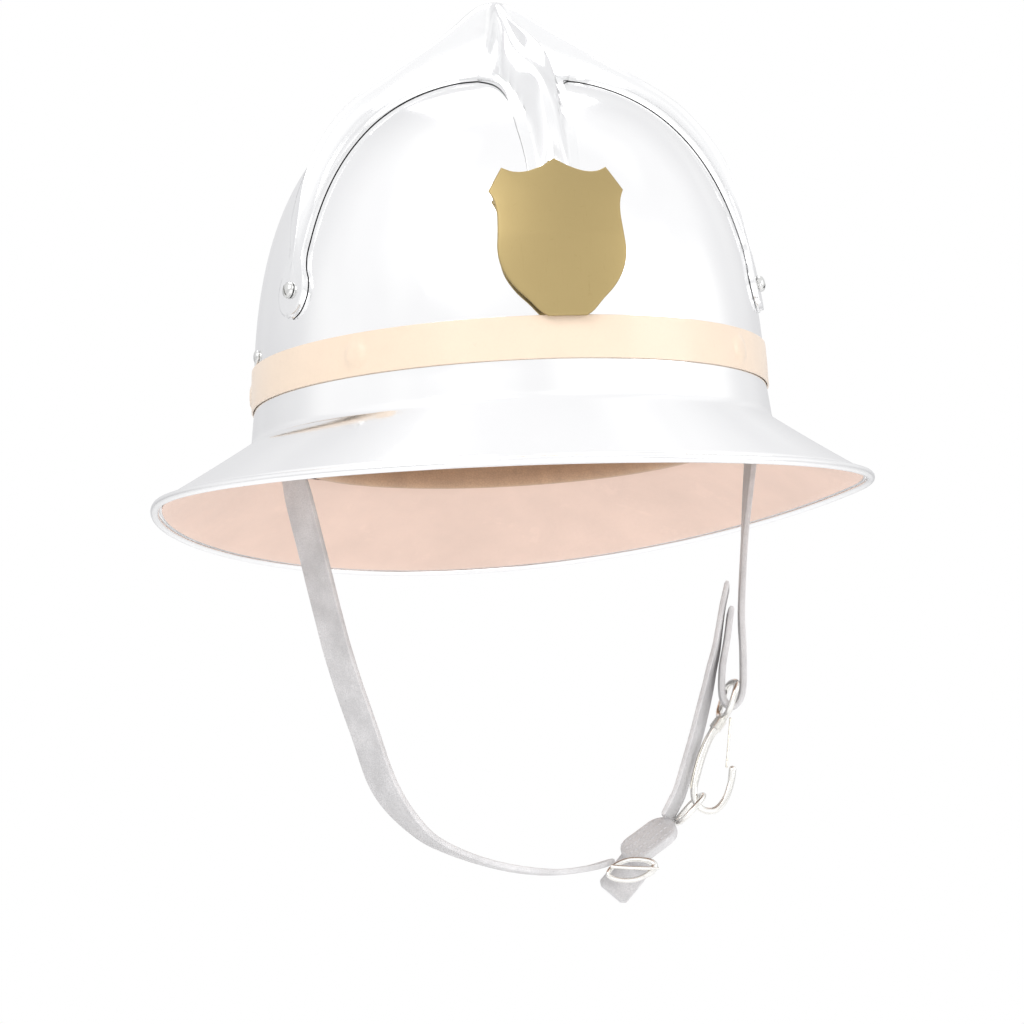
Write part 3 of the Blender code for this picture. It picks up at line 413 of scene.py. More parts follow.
def tape(name, color):
    m = Mat(name, color, 0.0, 0.36)
    cells = m.voronoi(430, "DISTANCE_TO_EDGE")
    soft = m.noise(40, 4, 0.6)
    col = m.mix(m.ramp(soft, [(0.3, 0.0), (0.75, 1.0)]), tuple(c * 0.95 for c in color), color)
    col = m.mix(m.math("MULTIPLY", m.ramp(cells, [(0.0, 1.0), (0.08, 0.0)]), 0.10), col, tuple(c * 0.8 for c in color))
    grime = m.math("MULTIPLY", m.ramp(m.noise(300, 4, 0.7), [(0.62, 0.0), (0.7, 1.0)]), 0.12)
    col = m.mix(grime, col, tuple(c * 0.7 for c in color))
    m.base(col)
    m.rough(m.math("MULTIPLY_ADD", soft, 0.15, 0.28))
    m.bump(cells, 0.12, 0.00008)
    m.bump(m.noise(60, 3), 0.15, 0.0005)
    m.b.inputs["Coat Weight"].default_value = 0.35
    m.b.inputs["Coat Roughness"].default_value = 0.25
    m.b.inputs["Sheen Weight"].default_value = 0.1
    return m.m


def thread(name, color):
    m = Mat(name, color, 0.0, 0.75)
    tw = m.node("ShaderNodeTexWave", wave_type="BANDS", bands_direction="DIAGONAL")
    tw.inputs["Scale"].default_value = 900
    tw.inputs["Distortion"].default_value = 1.5
    m.link(m.coords(), tw.inputs["Vector"])
    m.base(m.mix(tw.outputs["Fac"], tuple(c * 0.75 for c in color), color))
    m.bump(tw.outputs["Fac"], 0.5, 0.0002)
    m.b.inputs["Sheen Weight"].default_value = 0.3
    return m.m


def felt(name, color):
    m = Mat(name, color, 0.0, 0.95)
    n1 = m.noise(900, 6, 0.75, dist=1.5)
    n2 = m.noise(90, 4, 0.6)
    col = m.mix(n1, tuple(c * 0.7 for c in color), tuple(min(1, c * 1.25) for c in color))
    col = m.mix(m.math("MULTIPLY", n2, 0.3), col, tuple(c * 0.85 for c in color))
    m.base(col)
    m.bump(n1, 0.8, 0.0006)
    m.b.inputs["Sheen Weight"].default_value = 0.6
    return m.m


def rubber(name, color):
    m = Mat(name, color, 0.0, 0.7)
    n1 = m.noise(700, 4, 0.6)
    m.base(m.mix(n1, tuple(c * 0.8 for c in color), tuple(min(1, c * 1.3) for c in color)))
    m.bump(n1, 0.3, 0.0002)
    return m.m


def fibre(name, color):
    m = Mat(name, color, 0.0, 0.6)
    n1 = m.noise(1.0, 5, 0.6, m.coords((900, 900, 90)))
    m.base(m.mix(n1, tuple(c * 0.75 for c in color), tuple(min(1, c * 1.3) for c in color)))
    m.rough(m.math("MULTIPLY_ADD", n1, 0.2, 0.5))
    m.bump(n1, 0.25, 0.0002)
    return m.m


ALU = metal("shell_metal", (0.94, 0.94, 0.944), 0.10, spun=0.10, hammer=0.05, scratch=0.35)
ALU_EDGE = metal("edge_metal", (0.925, 0.926, 0.93), 0.16, hammer=0.0, scratch=0.5, tarnish=0.35)
ALU_IN = metal("shell_inside_metal", (0.80, 0.80, 0.80), 0.38, scratch=0.6, tarnish=0.3)
CREST = metal("crest_metal", (0.92, 0.922, 0.926), 0.16, hammer=0.06, scratch=0.5, tarnish=0.3, dark=(0.5, 0.5, 0.5))
BRASS = metal("badge_brass", (0.42, 0.325, 0.155), 0.56, scratch=0.5, tarnish=0.3, dark=(0.30, 0.22, 0.09), fine=1.0)
STEEL = metal("fasteners", (0.70, 0.70, 0.69), 0.24, scratch=0.8, tarnish=0.7, dark=(0.3, 0.27, 0.22), fine=2.0)
NICKEL = metal("hardware_steel", (0.84, 0.83, 0.80), 0.2, scratch=0.25, tarnish=0.25, dark=(0.5, 0.42, 0.32), fine=0.8)
WIRE = metal("gate_wire", (0.82, 0.78, 0.70), 0.24, scratch=0.25, tarnish=0.25, dark=(0.5, 0.4, 0.3), fine=0.8)
PAINT = painted("brim_lining", (0.80, 0.60, 0.505))
TAPE = tape("band", (0.87, 0.70, 0.545))
STRAP = leather("strap_leather", (0.60, 0.59, 0.595), (0.72, 0.71, 0.715), 0.5, 1.0)
# strap edge leather is lighter than the face leather: painted light that brightens the edges lying in shade under the
# brim
STRAP_EDGE_PAINTED_LIGHT = leather("strap_cut_edge", (0.70, 0.69, 0.695), (0.80, 0.79, 0.795), 0.7, 1.6)
TAN = leather("lining_leather", (0.50, 0.31, 0.19), (0.62, 0.44, 0.30), 0.55, 0.8)
CORD = thread("lace", (0.72, 0.63, 0.50))
STITCH = thread("stitch_thread", (0.74, 0.73, 0.75))
STITCH_TAN = thread("stitch_thread_tan", (0.75, 0.62, 0.45))
FELT = felt("pad_felt", (0.36, 0.345, 0.34))
RUBBER = rubber("spacer_rubber", (0.055, 0.052, 0.05))
FIBRE = fibre("hoop", (0.11, 0.10, 0.09))


# ------------------------------------------------------------------ shell
def build_shell():
    seg = 256
    line = []
    for i in range(800):
        t = math.pi / 2 * i / 799
        z = DOME_H * math.sin(t) ** (2 / DOME_P)
        line.append(Vector((DOME_A * dome_k(z), 0, z)))
    line[-1] = Vector((0, 0, DOME_H))
    line = [p for p in line if p.z >= FOOT_Z]
    heights = [p.z for p in resample(line, 64)][::-1]
    heights[-1] = FOOT_Z
    cols = []
    for i in range(seg):
        a = 2 * math.pi * i / seg
        length = brim_length(a)
        pts = [dome_point(a, z) for z in heights[1:]]
        pts += [dome_point(a, z * MM) for z in (11, 8, 5.5, 3.5)]
        c0, c1, c2 = dome_point(a, 2.2 * MM), dome_point(a, 0.0), brim_point(a, 2.2 * MM / length)
        for t in (0, 0.17, 0.34, 0.5, 0.66, 0.83, 1.0):
            pts.append((1 - t) ** 2 * c0 + 2 * t * (1 - t) * c1 + t * t * c2)
        end = 1 - 3.9 * MM / length
        for f in [k / 16 for k in range(1, 17)]:
            s = 2.2 * MM / length + (end - 2.2 * MM / length) * f
            pts.append(brim_point(a, s))
        cols.append(pts)
    n = len(cols[0])
    # inner side, moved in along the local normal
    inner = []
    for i in range(seg):
        row = []
        for j in range(n):
            p = cols[i][j]
            du = cols[(i + 1) % seg][j] - cols[i - 1][j]
            dv = cols[i][min(j + 1, n - 1)] - cols[i][max(j - 1, 0)]
            nr = du.cross(dv).normalized()
            if nr.dot(p - Vector((0, 0, -0.05))) < 0:
                nr = -nr
            row.append(p - nr * SHELL_T)
        inner.append(row)
    bm = bmesh.new()
    vo = [[bm.verts.new(p) for p in c] for c in cols]
    vi = [[bm.verts.new(p) for p in c] for c in inner]
    top, bot = bm.verts.new((0, 0, DOME_H)), bm.verts.new((0, 0, DOME_H - SHELL_T))
    for i in range(seg):
        k = (i + 1) % seg
        bm.faces.new((top, vo[i][0], vo[k][0]))
        f = bm.faces.new((bot, vi[k][0], vi[i][0]))
        f.material_index = 1
        for j in range(n - 1):
            bm.faces.new((vo[i][j], vo[i][j + 1], vo[k][j + 1], vo[k][j]))
            f = bm.faces.new((vi[i][j], vi[k][j], vi[k][j + 1], vi[i][j + 1]))
            f.material_index = 1
        bm.faces.new((vo[i][-1], vi[i][-1], vi[k][-1], vo[k][-1]))
    obj = link("shell_fine", mesh_of("shell_fine", bm), ALU, "helmet", ["shell"])
    obj.data.materials.append(ALU_IN)
    return obj


build_shell()


def build_bead():
    rows = []
    for i in range(288):
        a = 2 * math.pi * i / 288
        c = brim_point(a, 1 - BEAD_R / brim_length(a))
        n = brim_normal(a, 0.95)
        c = c - n * (SHELL_T / 2)
        out = (brim_point(a, 1.0) - brim_point(a, 0.95)).normalized()
        r = BEAD_R * (1.0 + 0.02 * noise.noise(c * 60))
        rows.append([c + out * (r * math.cos(2 * math.pi * k / 20)) + n * (r * math.sin(2 * math.pi * k / 20))
                     for k in range(20)])
    link("edge_bead_fine", skin("edge_bead_fine", rows, wrap_rows=True), ALU_EDGE, "helmet", ["edge_bead"])


build_bead()


def build_lining_paint():
    """Lining of the brim: a thin skin under it with a rounded edge."""
    rows = []
    for i in range(256):
        a = 2 * math.pi * i / 256
        length = brim_length(a)
        s0, s1 = 0.06, 1 - 4.6 * MM / length
        top, bottom = [], []
        for f in [k / 20 for k in range(21)]:
            s = s0 + f * (s1 - s0)
            p, n = brim_point(a, s), brim_normal(a, s)
            e = min(1.0, min(f, 1 - f) / 0.03)
            w = 0.10 * noise.noise(p * 45) + 0.05 * noise.noise(p * 140)
            top.append(p - n * (SHELL_T + 0.35 * MM))
            bottom.append(p - n * (SHELL_T + (0.55 + 0.75 * math.sqrt(max(e, 0.0)) + w * e) * MM))
        rows.append(top + bottom[::-1])
    link("brim_lining_fine", skin("brim_lining_fine", rows, wrap_rows=True), PAINT, "helmet",
         ["brim_lining"], 50)


build_lining_paint()


def build_band():
    rows = []
    seg = 720
    spots = [dome_point(math.radians(d), RIVET_Z, 0.0) for d in RIVETS.values()]
    zs = [14.3, 14.45, 15.2, 16.6] + [18 + k * 1.0 for k in range(10)] + [28.6, 30.0, 30.75, 30.9]
    for i in range(seg):
        a = 2 * math.pi * i / seg
        inner, outer = [], []
        for j, z in enumerate(zs):
            z *= MM
            p = dome_point(a, z, 0.0)
            lift = 0.0
            for s in spots:
                d = (p - s).length / MM
                if d < 9:
                    lift += 1.05 / (1 + math.exp((d - 4.6) * 1.9))
            deg = math.degrees(a)
            if 86.0 < deg < 95.0:
                lift += 0.55 * (smooth(86.0, 87.5, deg) if deg < 94.6 else 0.0)
            wave = 0.06 * noise.noise(p * 60) + 0.03 * noise.noise(p * 190)
            edge = 0.0 if 0 < j < len(zs) - 1 else -0.25
            outer.append(dome_point(a, z, (1.0 + lift + wave + edge) * MM))
            inner.append(dome_point(a, z, (0.35 + lift * 0.9) * MM))
        rows.append(inner + outer[::-1])
    link("tape_band_fine", skin("tape_band_fine", rows, wrap_rows=True), TAPE, "helmet", ["tape_band"], 40)


build_band()


# ------------------------------------------------------------------ crest
RIDGE_SIDE = [(0, -3.5, 179.2), (4.6, -5, 178.3), (9.5, -7.8, 174.6), (17, -12.5, 167.5), (32, -23, 155),
              (52, -33, 141), (66, -36, 131), (75, -38.5, 121), (82, -41, 110), (87, -43, 98), (90.2, -44, 82),
              (92.5, -44.6, 68), (94.6, -45, 56), (96.2, -44.2, 43.5)]
RIDGE_FRONT = [(0, -3.5, 179.2), (0, -8.4, 178.2), (0, -13.6, 175), (0, -22, 168.3), (0, -41, 155.5), (0, -61, 144.5),
               (0, -81, 134.5), (0, -94, 126), (0, -102.5, 115.5), (0, -106.8, 106), (0, -108.3, 100),
               (0, -107.4, 95), (0, -108.5, 90), (0, -112.2, 82), (0, -116, 70)]
RIDGE_REAR = [(0, -3.5, 179.2), (0, 1.4, 178.2), (0, 6.6, 175), (0, 17, 168.3), (0, 38, 157), (0, 62, 144),
              (0, 84, 131), (0, 102, 114), (0, 113, 97), (0, 119.5, 80), (0, 122.5, 66), (0, 124.8, 54), (0, 126, 43)]
EDGE_SIDE_FRONT = [(18.5, -56, 135), (26, -51.5, 135), (39.6, -50, 130), (55.9, -50, 121), (66.2, -50, 111),
                   (73.4, -50, 102), (79.1, -50, 92), (83.3, -50, 82), (86.3, -50, 73)]
EDGE_SIDE_REAR = [(19, 14, 138), (27, 8.5, 136), (40, 2, 131), (55, -7, 121), (68, -16, 107), (78, -24, 91),
                  (84.5, -31, 77)]
EDGE_FRONT = [(18.5, -56, 135), (13.8, -66, 130), (11.8, -76, 124), (11.3, -86, 117), (11.2, -94, 109),
              (10.4, -100, 99), (10, -105, 90.5), (9.8, -109, 82), (7.5, -112, 74), (0, -114, 70)]
EDGE_REAR = [(19, 14, 138), (14, 26, 138), (11.8, 42, 135), (11.2, 62, 128), (10.8, 84, 116), (9.5, 102, 99),
             (8.2, 113, 80)]


def ear_arc(centre, side, start, end=180.0):
    """Rounded end of an arm round its screw: side is +1 or -1 round the arm, angles from straight up."""
    f = on_dome(Vector(centre) * MM)
    n = dome_normal(f)
    up = (Vector((0, 0, 1)) - n * n.z).normalized()
    lat = n.cross(up) * side
    out = []
    for k in range(13):
        th = math.radians(start + (end - start) * k / 12)
        out.append((f + up * (10.4 * MM * math.cos(th)) + lat * (10.4 * MM * math.sin(th))) / MM)
    return out


def patch(ridge_pts, edge_pts, n_arm, stops, full=0.0):
    ridge = resample(catmull(mm(ridge_pts), 12), n_arm)
    edge = [on_dome(p) for p in resample(catmull(mm(edge_pts), 12), n_arm)]
    flange = GAP + CREST_EDGE
    ridge[-1] = edge[-1] + dome_normal(edge[-1]) * flange
    rows = []
    for i, (r, o) in enumerate(zip(ridge, edge)):
        d = on_dome(r)
        nd, no = dome_normal(d), dome_normal(o)
        lift = (r - d).length
        if lift < flange:
            r = d + (r - d).normalized() * flange
            lift = flange
        side = o - d
        wide = side.length
        side = side.normalized() if wide > 1e-6 else Vector((0, 0, 0))
        upd = (r - d).normalized()
        f = min(1.0, max(0.0, (lift - flange) / (8 * MM)))
        blunt = max(0.0, 1.0 - i * 12 / (n_arm - 1) / 3)
        o_in = o + no * flange - side * min(0.7 * MM, wide * 0.3)
        start = r + side * ((2.6 + 3.2 * blunt) * MM * f) - upd * ((1.8 + 2.0 * blunt) * MM * f)
        ctrl = on_dome((d + nd * flange).lerp(o_in, 0.34))
        ctrl = ctrl + dome_normal(ctrl) * flange
        # shoulder of the ridge: leaves the ridge square to it and meets the flank
        bend = r + side * ((1.7 + 2.0 * blunt) * MM * f) - upd * (0.1 * MM * f)
        row = []
        for t in stops:
            if f < 0.04:
                p = r.lerp(o_in, t)
            elif t <= 0.2:
                u = t / 0.2
                p = (1 - u) ** 2 * r + 2 * u * (1 - u) * bend + u * u * start
            else:
                u = (t - 0.2) / 0.8
                p = (1 - u) ** 2 * start + 2 * u * (1 - u) * ctrl + u * u * o_in
            s = i / (n_arm - 1)
            round_out = full * smooth(0.0, 0.24, s)
            if round_out > 0.0 and t > 0.0:
                foot = on_dome(d.lerp(o_in, t))
                shelf = 0.90 - 0.35 * smooth(0.02, 0.8, s)
                rise = max(0.0, 1.0 - min(t / shelf, 1.0) ** 2.2) ** 0.8
                full_p = foot + upd.lerp(dome_normal(foot), t).normalized() * (flange + (lift - flange) * rise)
                p = p.lerp(full_p, round_out)
            b = on_dome(p)
            if (p - b).length < flange * 0.97:
                q = b + dome_normal(b) * flange
                p = q
            row.append(p)
        # rolled-over edge of the flange, down to the dome
        row.append(o + no * (flange - 0.18 * MM) - side * (0.22 * MM))
        row.append(o + no * (flange - 0.75 * MM))
        row.append(o + no * (GAP * 0.6))
        rows.append(row)
    last = rows[-1]
    rows[-1] = [last[0].copy() for _ in stops] + last[-3:]
    return rows


def build_crest():
    stops = [0, 0.035, 0.07, 0.105, 0.14, 0.17, 0.2, 0.25, 0.31, 0.37, 0.44, 0.51, 0.58, 0.65, 0.72, 0.79, 0.86, 0.93, 1.0]
    n_arm = 74
    side_front = EDGE_SIDE_FRONT + [(88.0, -49.9, 66.5)] + [tuple(p) for p in ear_arc(SCREWS["left"], 1, 48)]
    side_rear = EDGE_SIDE_REAR + [(89.0, -38.6, 66.5)] + [tuple(p) for p in ear_arc(SCREWS["left"], -1, 48)]
    rear = EDGE_REAR + [(6.6, 119.5, 67.5)] + [tuple(p) for p in ear_arc(SCREWS["rear"], 1, 48)]
    if side_front[-5][1] > side_front[-5 - 8][1] + 20:
        side_front, side_rear = side_rear, side_front
    sets = ((RIDGE_SIDE, side_front), (RIDGE_SIDE, side_rear), (RIDGE_FRONT, EDGE_FRONT), (RIDGE_REAR, rear))
    bm = bmesh.new()
    for ridge, edge in sets:
        rows = patch(ridge, edge, n_arm, stops, 1.0 if ridge is RIDGE_FRONT else 0.0)
        for sx in (1.0, -1.0):
            top = [[bm.verts.new((p.x * sx, p.y, p.z)) for p in row] for row in rows]
            low = []
            for row in rows:
                line = []
                for j, p in enumerate(row):
                    b = on_dome(p)
                    n = dome_normal(b)
                    lift = (p - b).length
                    q = b + n * (GAP * 0.6 if j >= len(row) - 3 else 1.0 * MM) + (p - b).normalized() * max(0.0, lift - 4.6 * MM)
                    line.append(bm.verts.new((q.x * sx, q.y, q.z)))
                low.append(line)
            for grid in (top, low):
                for i in range(len(grid) - 1):
                    for j in range(len(grid[0]) - 1):
                        if grid is low and j >= len(grid[0]) - 3:
                            continue
                        vs = (grid[i][j], grid[i + 1][j], grid[i + 1][j + 1], grid[i][j + 1])
                        bm.faces.new(vs)
            for i in range(len(rows) - 1):
                bm.faces.new((top[i][-1], top[i + 1][-1], low[i + 1][-3], low[i][-3]))
    bmesh.ops.remove_doubles(bm, verts=bm.verts, dist=0.015 * MM)
    bmesh.ops.dissolve_degenerate(bm, edges=bm.edges, dist=0.01 * MM)
    loose = [v for v in bm.verts if not v.link_faces]
    bmesh.ops.delete(bm, geom=loose, context="VERTS")
    bmesh.ops.recalc_face_normals(bm, faces=bm.faces)
    # relax the seams between the half arms, keep the rolled edges
    soft = [v for v in bm.verts if (v.co - on_dome(v.co)).length > 3.4 * MM]
    for _ in range(3):
        bmesh.ops.smooth_vert(bm, verts=soft, factor=0.4, use_axis_x=True, use_axis_y=True, use_axis_z=True)
    # the pressing is soft where the arms meet and at the foot of the front arm
    crown = [v for v in soft if v.co.z > 138 * MM and abs(v.co.x) < 34 * MM and -62 * MM < v.co.y < 30 * MM]
    foot_of_arm = [v for v in bm.verts if v.co.y < -88 * MM and 84 * MM < v.co.z < 113 * MM and abs(v.co.x) < 9 * MM
                   and (v.co - on_dome(v.co)).length > 2.2 * MM]
    for _ in range(9):
        bmesh.ops.smooth_vert(bm, verts=crown, factor=0.5, use_axis_x=True, use_axis_y=True, use_axis_z=True)
    for _ in range(5):
        bmesh.ops.smooth_vert(bm, verts=foot_of_arm, factor=0.5, use_axis_x=True, use_axis_y=True, use_axis_z=True)
    link("crest_fine", mesh_of("crest_fine", bm), CREST, "helmet", ["crest"], 48)


build_crest()


# ------------------------------------------------------------------ turned fasteners
def turned(name, profile, origin, zdir, mat, body, replaces=(), steps=40, sharp=38, slot_cut=None):
    bm = bmesh.new()
    rows = []
    for r, z in profile:
        if r < 1e-9:
            rows.append([bm.verts.new((0, 0, z))])
        else:
            rows.append([bm.verts.new((r * math.cos(2 * math.pi * k / steps), r * math.sin(2 * math.pi * k / steps), z))
                         for k in range(steps)])
    for a, b in zip(rows, rows[1:]):
        for k in range(steps):
            k2 = (k + 1) % steps
            if len(a) == 1 and len(b) > 1:
                bm.faces.new((a[0], b[k], b[k2]))
            elif len(b) == 1 and len(a) > 1:
                bm.faces.new((a[k], b[0], a[k2]))
            elif len(a) > 1:
                bm.faces.new((a[k], b[k], b[k2], a[k2]))
    mesh = mesh_of(name, bm)
    mesh.transform(frame_to(origin, zdir))
    obj = link(name, mesh, mat, body, replaces, sharp)
    return obj


def cut(obj, mesh):
    """Boolean difference, applied."""
    mesh.transform(DROP)
    tool = bpy.data.objects.new("tool", mesh)
    bpy.context.scene.collection.objects.link(tool)
    bpy.context.view_layer.update()
    md = obj.modifiers.new("cut", "BOOLEAN")
    md.operation, md.object, md.solver = "DIFFERENCE", tool, "EXACT"
    dep = bpy.context.evaluated_depsgraph_get()
    new = bpy.data.meshes.new_from_object(obj.evaluated_get(dep))
    obj.modifiers.clear()
    obj.data = new
    bpy.data.objects.remove(tool, do_unlink=True)


def arc(r0, z0, r1, z1, n=7, bulge=1.0):
    """Quarter round from (r0, z0) on top to (r1, z1) at the side."""
    out = []
    for k in range(n + 1):
        t = math.pi / 2 * k / n
        out.append((r0 + (r1 - r0) * math.sin(t), z1 + (z0 - z1) * math.cos(t)))
    return out


for name, pos in SCREWS.items():
    foot = on_dome(Vector(pos) * MM)
    n = dome_normal(foot)
    seat = GAP + CREST_EDGE + 0.12 * MM
    prof = [(0, seat + 2.45 * MM)] + arc(0.3 * MM, seat + 2.45 * MM, 3.3 * MM, seat + 0.45 * MM, 9)
    prof += [(3.4 * MM, seat + 0.25 * MM), (3.3 * MM, seat), (1.9 * MM, seat), (1.9 * MM, -6.0 * MM),
             (1.5 * MM, -6.3 * MM), (0, -6.3 * MM)]
    screw = turned("crest_screw_head_" + name, prof, foot, n, STEEL, "helmet", ["crest_screw_" + name])
    bm = bmesh.new()
    bmesh.ops.create_cube(bm, size=1.0, matrix=Matrix.Diagonal((7.4 * MM, 0.85 * MM, 2.0 * MM, 1.0)))
    slot_mesh = mesh_of("slot", bm)
    slot_mesh.transform(frame_to(foot + n * (seat + 2.45 * MM), n, (0.3, 0.5, 0.8)))
    cut(screw, slot_mesh)
    # hexagon nut with chamfered corners on the inside
    bm = bmesh.new()
    c = foot - n * (SHELL_T + 2.1 * MM)
    rings = []
    for r, z in ((3.4, 1.5), (4.0, 1.15), (4.0, -1.15), (3.4, -1.5)):
        rings.append([bm.verts.new((r * MM * math.cos(math.pi / 3 * k), r * MM * math.sin(math.pi / 3 * k), z * MM))
                      for k in range(6)])
    hole = []
    for z in (1.5, -1.5):
        hole.append([bm.verts.new((2.05 * MM * math.cos(math.pi / 9 * k), 2.05 * MM * math.sin(math.pi / 9 * k), z * MM))
                     for k in range(18)])
    for a, b in zip(rings, rings[1:]):
        for k in range(6):
            bm.faces.new((a[k], b[k], b[(k + 1) % 6], a[(k + 1) % 6]))
    for k in range(18):
        bm.faces.new((hole[0][k], hole[0][(k + 1) % 18], hole[1][(k + 1) % 18], hole[1][k]))
    for ring_, hl in ((rings[0], hole[0]), (rings[-1], hole[1])):
        for k in range(6):
            seg_ = [hl[(3 * k + q) % 18] for q in range(4)]
            bm.faces.new([ring_[k], ring_[(k + 1) % 6]] + seg_[::-1])
    nut_mesh = mesh_of("nut", bm)
    nut_mesh.transform(frame_to(c, n))
    link("crest_nut_fine_" + name, nut_mesh, STEEL, "helmet", ["crest_nut_" + name], 25)

# ------------------------------------------------------------------ badge
BADGE_CX = -0.6 * MM
BADGE_HALF = [(0, 92.8), (5.5, 89.5), (11.5, 87.5), (16.5, 87.7), (20.3, 89.5), (26.2, 80.1), (24.6, 76.3),
              (23.9, 70.5), (24.4, 62.5), (24.9, 55.5), (23.4, 48.5), (19.5, 41.9), (14.0, 36.1), (10.2, 31.9),
              (7.4, 30.1)]


def badge_y(x, z):
    k = dome_k(z)
    y = -DOME_BF * math.sqrt(max(k * k - (x / DOME_A) ** 2, 0.0))
    return y - (2.7 * MM + 2.2 * MM * min(max((z - 36 * MM) / (26 * MM), 0.0), 1.0))


def build_badge():
    # smooth runs between the sharp corners of the outline
    runs = [BADGE_HALF[0:5], BADGE_HALF[4:6], BADGE_HALF[5:15]]
    half = []
    for run in runs:
        pts = [Vector((x, z, 0)) for x, z in run]
        pts = resample(catmull(pts, 10) if len(pts) > 2 else pts, max(3, int(3 * len(pts))))
        half += pts if not half else pts[1:]
    outline = [(p.x, p.y) for p in half]
    outline += [(-x, z) for x, z in outline[::-1] if x > 1e-6]
    outline = [(x * MM + BADGE_CX, z * MM) for x, z in outline]
    cx, cz = BADGE_CX, 62 * MM
    n = len(outline)

    def ring(inset, depth):
        pts = []
        for k, (x, z) in enumerate(outline):
            d = Vector((cx - x, cz - z, 0))
            d = d.normalized() * inset
            pts.append(Vector((x + d.x, badge_y(x + d.x, z + d.y) - depth, z + d.y)))
        return pts

    def scaled(f, depth):
        return [Vector((cx + (x - cx) * f, badge_y(cx + (x - cx) * f, cz + (z - cz) * f) - depth, cz + (z - cz) * f))
                for x, z in outline]

    bm = bmesh.new()
    rows = []
    t = 1.2 * MM
    rows.append(ring(0.25 * MM, 0.0))
    rows.append(ring(0.0, 0.25 * MM))
    rows.append(ring(0.0, t - 0.42 * MM))
    rows.append(ring(0.12 * MM, t - 0.14 * MM))
    rows.append(ring(0.42 * MM, t))
    rows.append(ring(1.5 * MM, t + 0.02 * MM))
    for f in (0.9, 0.8, 0.68, 0.55, 0.42, 0.28, 0.14):
        rows.append(scaled(f, t + 0.25 * MM * (1 - f) ** 0.5))
    vs = [[bm.verts.new(p) for p in r] for r in rows]
    for a, b in zip(vs, vs[1:]):
        for k in range(n):
            bm.faces.new((a[k], a[(k + 1) % n], b[(k + 1) % n], b[k]))
    c = bm.verts.new((cx, badge_y(cx, cz) - t - 0.25 * MM, cz))
    for k in range(n):
        bm.faces.new((vs[-1][k], vs[-1][(k + 1) % n], c))
    back = [[bm.verts.new(p) for p in scaled(f, 0.0)] for f in (0.8, 0.5, 0.2)]
    chain = [vs[0]] + back
    for a, b in zip(chain, chain[1:]):
        for k in range(n):
            bm.faces.new((a[k], b[k], b[(k + 1) % n], a[(k + 1) % n]))
    cb = bm.verts.new((cx, badge_y(cx, cz), cz))
    for k in range(n):
        bm.faces.new((back[-1][(k + 1) % n], back[-1][k], cb))
    link("badge_fine", mesh_of("badge_fine", bm), BRASS, "helmet", ["badge"], 45)
    for name, z in (("upper", 77 * MM), ("lower", 42 * MM)):
        foot = Vector((0, -DOME_BF * dome_k(z), z))
        nn = dome_normal(foot)
        rise = 0.0018 + (3.2 * MM if name == "upper" else 1.8 * MM)
        turned("badge_stud_" + name, [(0, rise - 0.3 * MM), (1.6 * MM, rise - 0.3 * MM), (1.6 * MM, -6.6 * MM),
                                      (1.2 * MM, -7.0 * MM), (0, -7.0 * MM)], foot, nn, BRASS, "helmet")


build_badge()


# ------------------------------------------------------------------ lining set
def lining_point(ang, off, z):
    x, y = half_oval(SWEAT[0] + off, SWEAT[1] + off, SWEAT[2] + off, ang)
    return Vector((x, y, z))


def lining_normal(ang):
    a = lining_point(ang + 0.01, 0, 0) - lining_point(ang - 0.01, 0, 0)
    return Vector((a.y, -a.x, 0)).normalized()


def build_sweatband():
    prof = [(0.0, 29.6), (-0.1, 24), (-0.2, 17), (-0.15, 10), (0.05, 4), (0.1, -2), (0.3, -4.4), (1.0, -6.6), (2.2, -8.0),
            (3.8, -8.5), (5.4, -8.3), (6.8, -7.2), (7.8, -5.4), (8.15, -3), (8.15, 4), (8.1, 10.8), (7.6, 11.4), (6.9, 11.2),
            (6.7, 4), (6.6, -3.0), (6.2, -4.8), (5.2, -6.3), (3.9, -6.9), (2.7, -6.2), (2.0, -4.4), (1.75, -2), (1.7, 4),
            (1.6, 10), (1.55, 17), (1.65, 24), (1.7, 29.6), (0.85, 30.2)]
    rows, uv = [], []
    seg = 240
    for i in range(seg):
        a = 2 * math.pi * i / seg
        row, ur = [], []
        d = 0.0
        for j, (o, z) in enumerate(prof):
            p = lining_point(a, o * MM, z * MM)
            w = 0.35 * noise.noise(Vector((p.x * 30, p.y * 30, z * 0.05))) * MM * (1 if j < 9 or j > 22 else 0.3)
            p = p + lining_normal(a) * w
            row.append(p)
            ur.append((a * 0.095, o * MM + z * MM))
        rows.append(row)
        uv.append(ur)
    mesh = skin("sweatband_fine", rows, wrap_rows=True, uv=uv)
    link("sweatband_fine", mesh, TAN, "helmet", ["sweatband"], 60)
    # stitches that close the fold round the hoop
    bm = bmesh.new()
    for i in range(150):
        a = 2 * math.pi * (i + 0.5) / 150
        p = lining_point(a, -0.12 * MM, 1.5 * MM) + lining_normal(a) * (-0.1 * MM)
        t = (lining_point(a + 0.01, 0, 0) - lining_point(a - 0.01, 0, 0)).normalized()
        m = frame_to(p, t) @ Matrix.Diagonal((0.32 * MM, 0.32 * MM, 1.35 * MM, 1))
        bmesh.ops.create_uvsphere(bm, u_segments=8, v_segments=6, radius=1.0, matrix=m)
    link("sweatband_stitches", mesh_of("sweatband_stitches", bm), STITCH_TAN, "helmet")


build_sweatband()


